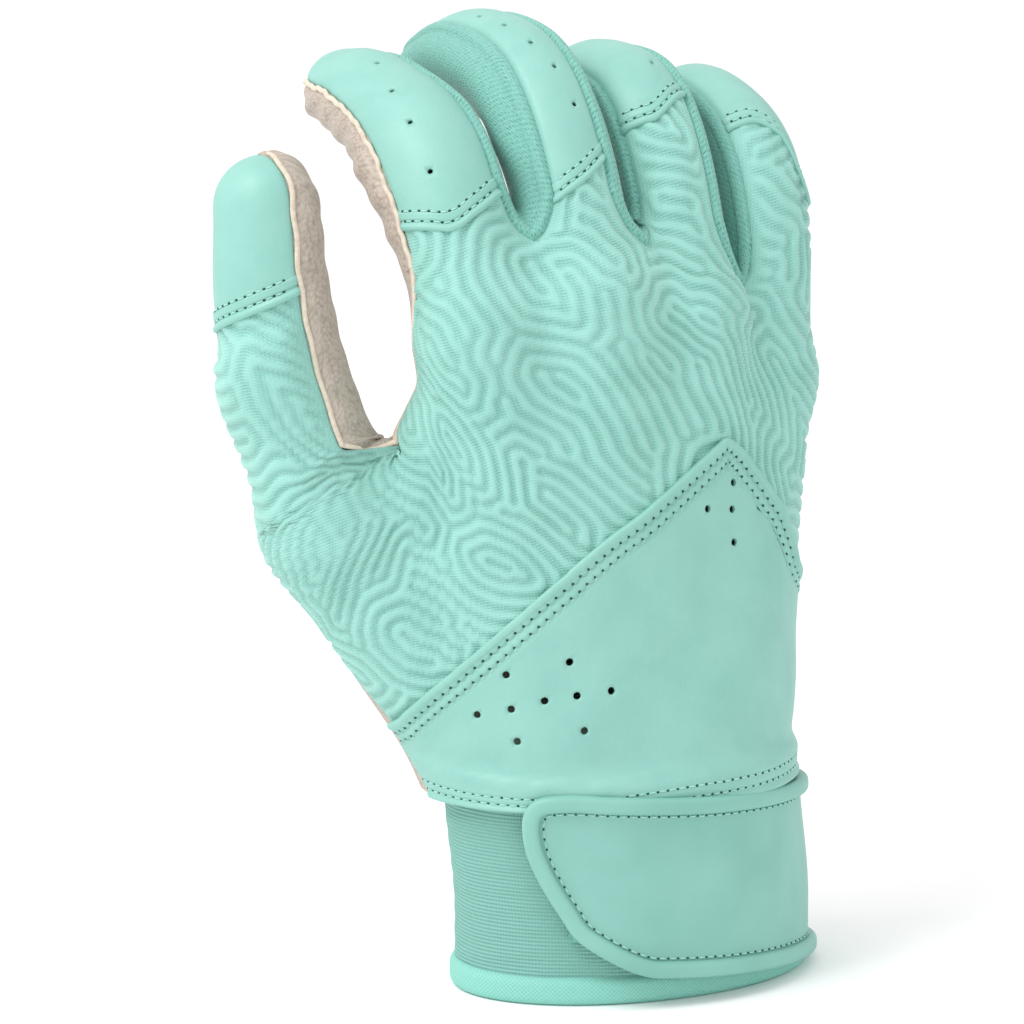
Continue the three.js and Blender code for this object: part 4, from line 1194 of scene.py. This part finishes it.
# %% Leather fronts
INDEX_BULGE = 24.0      # mm up from the crotch, where the leather bunches inside the first bend
for name in ["thumb"] + FINGERS:
    crotch, tip = crotch_length(name), tip_length(name)
    if name == "thumb":
        angles = face_angles(name, -1, FINGER_CELLS + CREST_CELLS)
        tube_rows = own_ring(name, angles[None], np.linspace(crotch + RING_RISE, tip, 19)[:, None])
        base = np.concatenate([top_rows[name, -1], THUMB_WEB["line"][::-1][1:]])
        rough = from_saddle(base, tube_rows)
        rising = np.linspace(crotch, crotch + RING_RISE, SADDLE_ROWS)
        rough[:SADDLE_ROWS, 0] = own_ring(name, angles[0], rising)
    else:
        rough = face_points(name, -1, length_rows(crotch, tip, 26))
    points, out = filled(*settle(rough), 0.7)
    sizes = edge_lengths(points)
    lift = seam_dip(sizes)
    # Soft waves in the leather that shows beside the raw edge
    near = {"thumb": sizes["right"], "index": sizes["left"]}.get(name)
    if near is not None:
        full = 0.5 + 0.9 * waves(sizes["low"], near * 0.3, [8, 13, 21], 6)
        if name == "index":
            full = full + 1.6 * bell(sizes["low"], INDEX_BULGE, 9)
        lift = lift + full * bell(near, 5.6, 7) * smooth(sizes["low"] / 9) * smooth(near / 3)
    front = shell(name + "_leather_front", points, out, WALL, goatskin, unrolled(points), lift)
    blend_piece(front, "palm_leather", name, name + "_front_leather")
print("fronts done")

# %% Leather palm
points, out = hand_sheet(-1, lambda across: np.full_like(across, HAND_BOTTOM),
                         THUMB_WEB["line"][::-1][1:], (0.16, 0.24, 0.34), 22)
points, out = filled(points, out, 0.9)
lift = seam_dip(edge_lengths(points))
palm = shell("leather_palm", points, out, WALL, goatskin, unrolled(points), lift)
finish_piece(palm, "palm_leather", "hand", "palm_leather")
print("palm:", len(palm.data.vertices), "vertices")

# %% Wrist panel
WRIST_LIFT, WRIST_HEM = 1.0, 6.0         # the panel's height over the cuff, the width of its hem
STITCH = 2.2                             # from one needle hole to the next
FOLD_HEIGHT, FOLD_SIZES = 0.6, [38, 26, 19]
LIP_ROWS = {"low": 2.2, "high": 4.4}     # rows of stitches, in mm from the panel's lower edge
SEAM_ROWS = {"high": 2.3, "low": 4.4}    # and from its upper edge
across = np.linspace(0, 1, 121)
share = np.linspace(0, 1, 31)[:, None]
heights = HAND_BOTTOM * (1 - share) + wrist_seam(across)[None] * share
points, out = cast(*hand_ray(1, across[None], heights))
for _ in range(4):
    around = points[:-2, 1:-1] + points[2:, 1:-1] + points[1:-1, :-2] + points[1:-1, 2:]
    points[1:-1, 1:-1] = around / 4
    points, out = settle(points)
points, out = filled(points, out, 0.5)
flat = unrolled(points)
seam_path, seam_normals = points[-1].copy(), grid_normals(points, out)[-1]
from_seam = np.full(points.shape[:2], np.inf)
for place in seam_path[::3]:
    from_seam = np.minimum(from_seam, np.linalg.norm(points - place, axis=2))
low_run = edge_lengths(points)["low"]
folds = FOLD_HEIGHT * waves(flat[..., 0], flat[..., 1] * 0.6, FOLD_SIZES, 12)
folds = folds * smooth((from_seam - 8) / 12) * smooth((low_run - 6) / 8)
lip = 0.5 * arch(low_run, 1.4) - 0.25 * sum(bell(low_run, at, 0.4) for at in LIP_ROWS.values())
under_hem = smooth((WRIST_HEM - 0.3 - from_seam) / 1.0)
lift = WRIST_LIFT + lip + folds - under_hem
WRIST_HOLES = [(478, 714), (512, 709), (544, 701), (578, 695), (610, 690), (506, 675), (571, 661),
               (518, 741), (584, 730), (731, 482), (705, 509), (730, 508), (755, 508), (733, 541)]
wrist = shell("smooth_wrist_panel", points, out, WALL, smooth_leather, flat, lift,
              seen(WRIST_HOLES), 0.8)
wrist_points, wrist_out, wrist_low, wrist_lift = points, out, low_run, lift
finish_piece(wrist, "smooth_leather", "hand", "wrist_panel")

# The folded hem along the panel's upper edge, square to the seam: rows by distance from it
path, normals = (curve_through(values, 720) for values in (seam_path, seam_normals))
inward = np.cross(unit(np.gradient(path, axis=0)), unit(normals))
inward = inward * np.sign(np.sum(inward * (wrist_points.mean((0, 1)) - path), 1)).mean()
inward = unit(np.stack([blurred(column, 91) for column in inward.T], 1))
far_in = np.linspace(0, WRIST_HEM, 9)[:, None, None]
rough, out = settle(path[None, ::6] + far_in * inward[None, ::6])
hem_points, hem_out = refine(rough, 31, 681), refine(out, 31, 681)
from_edge = edge_lengths(hem_points)["low"]
run = edge_lengths(hem_points[:1])["left"]
# Between two needle holes the thread bites a crescent into the hem, which puffs up beside it
puff = 1 - (2 * (run / STITCH % 1) - 1) ** 2
hem_lift = WRIST_LIFT + 0.1 + 0.6 * arch(from_edge, 1.7)
hem_lift = hem_lift - 0.3 * smooth((from_edge - WRIST_HEM + 1.0) / 1.0)
for at in SEAM_ROWS.values():
    hem_lift = hem_lift - 0.36 * bell(from_edge, at + 0.6 * puff, 0.3)
    hem_lift = hem_lift + 0.22 * puff * bell(from_edge, at - 0.35, 0.55)
hem = shell("wrist_hem", hem_points, hem_out, WALL + 0.3, smooth_leather, unrolled(hem_points), hem_lift)
finish_piece(hem, "smooth_leather", "hand")
print("wrist panel:", len(wrist.data.vertices), "vertices")

# %% [markdown]
# The cuff, its tape and the strap
#
# The cuff is a short oval tube of ribbed elastic with a folded tape round its lower edge. The
# strap lies over it, from its root at the little finger's side to its tab on the back. All of
# them are laid out by the arc along the oval and by height.

# %% The oval
OVAL_TURNS = np.linspace(-200, 200, 1601)
oval_x = CUFF_HALF_WIDTH * np.sin(np.radians(OVAL_TURNS))
oval_y = -CUFF_HALF_DEPTH * np.cos(np.radians(OVAL_TURNS))
oval_arc = travel(np.stack([oval_x, oval_y], 1))
oval_arc = oval_arc - oval_arc[len(oval_arc) // 2]
OVAL_GIRTH = np.interp(180, OVAL_TURNS, oval_arc) * 2
CUFF_LEAN = -2.4        # the cuff's top leans this far towards the thumb's side


def oval(arc, z, lift):
    """Point and outward direction at an arc from the middle of the back towards +X."""
    arc, z, lift = np.broadcast_arrays(arc, z, lift)
    turn = np.radians(np.interp(arc, oval_arc, OVAL_TURNS))
    out = unit(np.stack([np.sin(turn) / CUFF_HALF_WIDTH, -np.cos(turn) / CUFF_HALF_DEPTH,
                         np.zeros_like(turn)], -1))
    lean = CUFF_LEAN * smooth((z - 14) / 30)
    place = np.stack([CUFF_HALF_WIDTH * np.sin(turn) + lean, -CUFF_HALF_DEPTH * np.cos(turn), z], -1)
    return place + out * lift[..., None], out


def swept(name, profile, path, normals, material, closed=False):
    """A closed profile (rows of side, up) carried along a path, with flat lids at an open path's
    ends. side lies across the path in its surface, up along the surface's normal."""
    along = np.roll(path, -1, 0) - np.roll(path, 1, 0)
    if not closed:
        along[0], along[-1] = path[1] - path[0], path[-1] - path[-2]
    along = unit(along)
    side = unit(np.cross(normals, along))
    up = np.cross(along, side)
    ring = path[:, None] + profile[:, :1] * side[:, None] + profile[:, 1:] * up[:, None]
    nodes = ring.reshape(-1, 3)
    node = np.arange(len(nodes)).reshape(ring.shape[:2])
    here, ahead = (node, np.roll(node, -1, 0)) if closed else (node[:-1], node[1:])
    faces = np.stack([here, np.roll(here, -1, 1), np.roll(ahead, -1, 1), ahead], -1).reshape(-1, 4)
    flat = np.stack(np.broadcast_arrays(travel(path)[:, None], travel(ring[0])[None]), -1).reshape(-1, 2)
    if not closed:
        half = len(profile) // 2
        lids = [np.stack([end[1:half], end[:half - 1], end[:half:-1], end[-2:half - 1:-1]], 1)
                for end in (node[0], node[-1, ::-1])]
        faces = np.concatenate([faces, *lids])
    return new_object(name, nodes, faces, material, flat)


def beside(path, normals):
    """Unit directions in the surface, square to a path."""
    return np.cross(unit(np.gradient(path, axis=0)), unit(normals))


def rounded(width, height, corner, count=6):
    """Outline of a rounded rectangle, anticlockwise: quarter circles at its four corners."""
    parts = []
    for x, y, first in [(1, 1, 0), (-1, 1, 90), (-1, -1, 180), (1, -1, 270)]:
        turn = np.radians(np.linspace(0, 90, count)) + math.radians(first)
        middle = [x * (width / 2 - corner), y * (height / 2 - corner)]
        parts.append(middle + corner * np.stack([np.cos(turn), np.sin(turn)], 1))
    return np.concatenate(parts)


print("cuff girth", round(OVAL_GIRTH, 1), "mm")


# %% [markdown]
# Thread
#
# A lockstitch shows as short arcs of thread that dive into small needle holes. On soft leather
# the thread bites in, and the edge puffs up between holes. Each stitch is a bent tube of about
# thirty faces, and each hole is a small dark cup.

# %% Stitches and needle holes
# The holes' dark green is painted shade inside them
needle_hole = new_material("shaded_needle_hole", {"Base Color": linear("#1d4a3c"), "Roughness": 0.9})[0]


def contour(points, out, distance, value, lift):
    """Path along a grid where a distance that grows with the row takes a value, with normals."""
    row = np.clip(np.argmax(distance >= value, axis=0), 1, len(points) - 1)
    column = np.arange(points.shape[1])
    low, high = distance[row - 1, column], distance[row, column]
    part = ((value - low) / np.maximum(high - low, 1e-6))[:, None]
    normals = grid_normals(points, out)
    raised = points + normals * np.broadcast_to(lift, points.shape[:2])[..., None]
    path = raised[row - 1, column] * (1 - part) + raised[row, column] * part
    return path, normals[row, column]


def along_path(path, normals, places, far=None, reach=0.3):
    """Points, normals and tangents at distances along a path, or at given values of far. A
    tangent runs from reach behind a place to reach ahead of it."""
    far = travel(path) if far is None else far
    here, ahead, behind = (read_at(places + shift, far, path) for shift in (0, reach, -reach))
    return here, unit(read_at(places, far, normals)), unit(ahead - behind + 1e-9)


def stitches(name, path, normals, length=1.7, radius=0.2, height=0.08):
    """One mesh of bent tubes: five rings of six sides each, highest in the middle and sinking by
    0.3 x^4 at the ends, where x runs from -1 to 1."""
    centres = (np.arange(int(travel(path)[-1] / STITCH)) + 0.5) * STITCH
    x = np.linspace(-1, 1, 5)
    here, normal, along = along_path(path, normals, centres[:, None] + x * length / 2)
    side = np.cross(normal, along)
    rise = height - 0.3 * x ** 4
    thick = radius * np.sqrt(1 - 0.75 * x ** 2)
    here = here + normal * rise[None, :, None]
    angle = np.arange(6)[:, None] * np.pi / 3
    round_it = normal[:, :, None] * np.cos(angle) + side[:, :, None] * np.sin(angle)
    ring = here[:, :, None] + thick[None, :, None, None] * round_it
    node = np.arange(ring[..., 0].size).reshape(ring.shape[:3])
    turned = np.roll(node, -1, 2)
    tubes = np.stack([node[:, :-1], node[:, 1:], turned[:, 1:], turned[:, :-1]], -1).reshape(-1, 4)
    first, last = node[:, 0], node[:, -1]
    ends = [first[:, [0, 1, 2, 3]], first[:, [0, 3, 4, 5]], last[:, [3, 2, 1, 0]], last[:, [5, 4, 3, 0]]]
    return new_object(name, ring.reshape(-1, 3), np.concatenate([tubes] + ends), thread)


def needle_holes(name, path, normals, radius=0.3, far=None, depth=0.35):
    """Small dark cups at the ends of the stitches: a ring of eight on the surface, and one that
    lies deeper."""
    total = travel(path)[-1]
    centres = np.clip(np.arange(int(total / STITCH) + 1) * STITCH, 0.2, total - 0.2)
    here, normal, along = along_path(path, normals, centres, far)
    side = np.cross(normal, along)
    angle = np.arange(8)[:, None] * np.pi / 4
    round_it = along[:, None] * np.cos(angle) + side[:, None] * np.sin(angle)
    rim = here[:, None] + 0.05 * normal[:, None] + radius * round_it
    nodes = np.concatenate([rim + 0.02 * normal[:, None], rim - depth * normal[:, None]], 1)
    node = np.arange(nodes[..., 0].size).reshape(-1, 16)
    up, down = node[:, :8], node[:, 8:]
    walls = np.stack([up, down, np.roll(down, -1, 1), np.roll(up, -1, 1)], -1).reshape(-1, 4)
    lids = [part[:, picked] for part, order in ((up, 1), (down, -1))
            for picked in ([0, 1, 2, 7][::order], [2, 3, 6, 7][::order], [3, 4, 5, 6][::order])]
    return new_object(name, nodes.reshape(-1, 3), np.concatenate([walls] + lids), needle_hole)


def sewn_row(name, path, normals):
    """The stitches and needle holes of one row."""
    return (stitches(name + "_stitches", path, normals),
            needle_holes(name + "_needle_holes", path, normals))


for name in DIGITS:
    points, out, from_lip, lift = hems[name]
    for row, at in HEM_ROWS.items():
        path, normals = (values[8:-8] for values in contour(points, out, from_lip, at, lift + 0.15))
        for made in sewn_row(f"{name}_hem_{row}", path, normals):
            blend_piece(made, "smooth_leather", name)
for row, at in SEAM_ROWS.items():
    path, normals = contour(hem_points, hem_out, from_edge, at, hem_lift + 0.1)
    holes = needle_holes(f"wrist_{row}_needle_holes", path, normals, 0.36, run[0])
    finish_piece(holes, "smooth_leather", "hand")
for row, at in LIP_ROWS.items():
    path, normals = contour(wrist_points, wrist_out, wrist_low, at, wrist_lift)
    for made in sewn_row(f"wrist_lip_{row}", path, normals):
        finish_piece(made, "smooth_leather", "hand")
print("stitches done:", len(bpy.data.meshes), "meshes")

# %% [markdown]
# Raw edges
#
# The goatskin is cut, not turned in, where it meets the knit on the thumb and the index finger.
# Its pale cut edge stands up along the seam and wavers with the cut.

# %% Raw leather edges
def eased_corner(path, toward, amount=0.9, reach=5.0):
    """The path with its first few millimetres drawn aside, so that two edges meet in a round."""
    return path + toward * amount * np.clip(1 - travel(path) / reach, 0, 1)[:, None] ** 2


EDGE_ASIDE, EDGE_WAVER = 0.35, 0.45      # mm from the seam, and how far the cut wanders about it
corner = face_points("thumb", 1, crotch_length("thumb") + np.array([[0.0], [5.0]]))[:, -1]
toward = unit(unit(corner[1] - corner[0]) + unit(radial[4] - radial[0]))
for name, end in (("thumb", 1), ("index", 0)):
    stops = np.linspace(crotch_length(name), tip_length(name) - 1, 60)
    seam = face_points(name, 1, stops[:, None])[:, -end]
    path, normals = (curve_through(values, 260) for values in settle(seam))
    along = np.arange(260)[:, None] * 0.3
    sideways = beside(path, normals) * (1 if end else -1)
    waver = EDGE_WAVER * waves(along, along, [6, 9, 15], 3 + end)
    path = path + sideways * (EDGE_ASIDE + waver) + normals * 0.1
    if name == "thumb":
        path = eased_corner(path, toward)
    ridge = swept(name + "_raw_edge", rounded(1.1, 0.9, 0.35, 3), path, unit(normals), raw_edge)
    blend_piece(ridge, "palm_leather", name)
path, normals = (curve_through(values, 200) for values in settle(radial))
path = eased_corner(path - beside(path, normals) * EDGE_ASIDE, toward)
ridge = swept("hand_raw_edge", rounded(1.3, 0.9, 0.35, 3), path, unit(normals), raw_edge)
finish_piece(ridge, "palm_leather", "hand")
print("raw edges done")

# %% Cuff and tape
CUFF_WALL, BINDING_HEIGHT, BINDING_PROUD = 1.5, 6.0, 1.2


def oval_sheet(name, place, arcs, heights, lift, wall, material, relief=0.0):
    """A panel on a chart of the oval: a grid of arcs and heights, at a lift above the cuff."""
    points, out = place(arcs[None], heights[:, None], lift)
    flat = np.stack(np.broadcast_arrays(arcs[None], heights[:, None]), -1)
    return shell(name, points, out, wall, material, flat, relief)


arcs = np.linspace(-OVAL_GIRTH / 2, OVAL_GIRTH / 2, 361)
heights = np.linspace(BINDING_HEIGHT - 1, CUFF_TOP, 80)
wavy = 0.25 * waves(arcs[None], heights[:, None] * 2, [9, 14, 23], 5)
wavy = wavy * np.sin(np.pi * (arcs + OVAL_GIRTH / 2) / OVAL_GIRTH)[None]
cuff = oval_sheet("elastic_cuff", oval, arcs, heights, 0.0, CUFF_WALL, elastic, wavy)
finish_piece(cuff, "ribbed_elastic", "hand", "cuff")
# The tape clasps the cuff's lower edge from both sides
tape_wall = CUFF_WALL + 2 * BINDING_PROUD
arcs = np.linspace(-OVAL_GIRTH / 2, OVAL_GIRTH / 2, 241)[:-1]
path, out = oval(arcs, BINDING_HEIGHT / 2, BINDING_PROUD - tape_wall / 2)
binding = swept("cuff_tape", rounded(BINDING_HEIGHT, tape_wall, 1.8), path, out, tape, closed=True)
finish_piece(binding, "binding_tape", "hand", "cuff_binding")
print("cuff:", len(cuff.data.vertices), "vertices")

# %% Strap
STRAP_WALL, STRAP_FALL, STRAP_LIFT, STRAP_DROP = 2.2, 0.09, 5.1, 3.0
SLIT_ARC, STRAP_LOW, STRAP_HIGH = 50.66, 5.8, 44.4
STRAP_ROLL = 3.6
STRAP_BEND = 14.0       # mm of strap that bend when it is peeled
# The tab's outline as arc and height, before the strap's fall, from the low to the high edge
TAB = np.array([(-6, 5.8), (-13, 7.5), (-22, 13), (-25.5, 18.5), (-28.5, 25), (-30.5, 32), (-30.5, 39),
                (-28, 42.8), (-23, 44.2), (-16, 44.4)])


def strap_place(arc, z, lift):
    """The strap's chart: it falls with the arc until the slit."""
    return oval(arc, z - STRAP_FALL * np.minimum(arc, SLIT_ARC), lift)


def strap_lift(arc):
    """The strap lies high over the tape under its tab and closer at the little finger's side."""
    return STRAP_LIFT - STRAP_DROP * smooth(arc / 45)


def on_strap(line, sink):
    """Points and directions of a line or sheet of arcs and heights, sunk below the strap's lift."""
    return strap_place(line[..., 0], line[..., 1], strap_lift(line[..., 0]) - sink)


def inset(line, distance):
    """The outline moved inwards, along its own normals in the flat chart."""
    along = unit(np.gradient(line, axis=0))
    return line + np.stack([along[:, 1], -along[:, 0]], 1) * distance


outline = np.concatenate([[(SLIT_ARC, STRAP_LOW)], curve_through(TAB, 90), [(SLIT_ARC, STRAP_HIGH)]])
outline = np.concatenate([np.linspace(outline[0], outline[1], 60)[:-1], outline[1:-1],
                          np.linspace(outline[-2], outline[-1], 70)[1:]])
root_arc = outline[:, 0].max()
root, bent = strap_place(np.array([root_arc, root_arc - STRAP_BEND]), 25.0, strap_lift(root_arc))[0]


def strap_piece(piece, *nodes):
    """The strap is sewn down at its root. Hides the frame's parts that a piece of it stands for, and bakes
    its place into its mesh.
    """
    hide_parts(*nodes)
    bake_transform(piece)


path, out = on_strap(inset(outline, STRAP_ROLL / 2), 0.4)
edge = swept("strap_rolled_edge", rounded(STRAP_ROLL, 3.0, 1.3), path, out, rubber)
strap_piece(edge, "strap_edge")
inner_line = inset(outline, STRAP_ROLL - 0.6)
half = len(inner_line) // 2
rows = np.linspace(0, 1, 40)[:, None, None]
sheet = inner_line[None, :half] * (1 - rows) + inner_line[None, ::-1][:, :half] * rows
panel = shell("strap_centre", *on_strap(sheet, 0.8), STRAP_WALL - 0.8, rubber, sheet)
strap_piece(panel, "strap_panel")
path, out = on_strap(inset(outline, STRAP_ROLL + 0.5)[::2], 0.72)
for made in (stitches("strap_stitches", path, out, length=1.5, radius=0.22),
             needle_holes("strap_needle_holes", path, out, 0.24)):
    strap_piece(made)
for name, length, lift, node, body in (("hook_tape", 26, 2.2, "hook_patch", "strap"),
                                       ("loop_tape", 46, 1.1, "loop_patch", "hand")):
    arcs, heights = np.linspace(-24, -24 + length, 40), np.linspace(12, 38, 30)
    patch = oval_sheet(name, strap_place, arcs, heights, lift, 0.8, fastener)
    finish_piece(patch, "hook_and_loop", body, node)
arcs, heights = np.linspace(SLIT_ARC + 1.5, SLIT_ARC + 24, 30), np.linspace(7, 40, 30)
falling = np.linspace(STRAP_LIFT - STRAP_DROP, 2.2, 30)[None]
anchor = oval_sheet("strap_anchor_tab", oval, arcs, heights, falling, STRAP_WALL, rubber)
finish_piece(anchor, "moulded_strap", "hand", "strap_anchor")
print("strap:", len(edge.data.vertices), "edge vertices")

# %% Slit trim
heights = np.linspace(HAND_BOTTOM, wrist_seam(1.0), 60)
points, out = cast(*hand_ray(1, np.ones(60), heights, right_angle=84))
trim = swept("slit_binding", rounded(3.0, 2.4, 1.1), points, out, smooth_leather)
finish_piece(trim, "smooth_leather", "hand", "slit_trim")
print("slit trim:", len(trim.data.vertices), "vertices")

# %% [markdown]
# Floor and light
#
# The photograph is a plain studio shot on white. A bright white surround lights the glove from
# all sides, and one soft light high on the left gives it its shading.

# %% Floor, world and light
bpy.context.scene.view_settings.view_transform = "Standard"
FLOOR_HALF = 9000.0
paper = new_material("white_paper", {"Base Color": linear("#ffffff"), "Roughness": 0.9})[0]
floor_points = FLOOR_HALF * np.array([[-1, -1, 0], [1, -1, 0], [-1, 1, 0], [1, 1, 0]])
floor = new_object("floor", floor_points, np.array([[0, 1, 3, 2]]), paper)
world = bpy.data.worlds.new("studio")
bpy.context.scene.world = world
world.use_nodes = True
surround = world.node_tree.nodes["Background"]
surround.inputs["Color"].default_value = linear("#ffffff")
surround.inputs["Strength"].default_value = 1.0


def soft_light(name, azimuth, elevation, distance, size, power):
    """A square light that faces the glove from a direction, in the camera's own angles. distance
    and size are in metres, power in watts."""
    back = direction(math.radians(azimuth), math.radians(elevation))
    data = bpy.data.lights.new(name, "AREA")
    data.size, data.energy = size, power
    light = bpy.data.objects.new(name, data)
    bpy.context.collection.objects.link(light)
    light.location = back * distance + np.array([0, 0, 0.1])
    light.rotation_euler = Vector(back.tolist()).to_track_quat("Z", "Y").to_euler()


soft_light("key", -84, 52, 1.0, 0.5, 6)
print("lights:", len(bpy.data.lights))
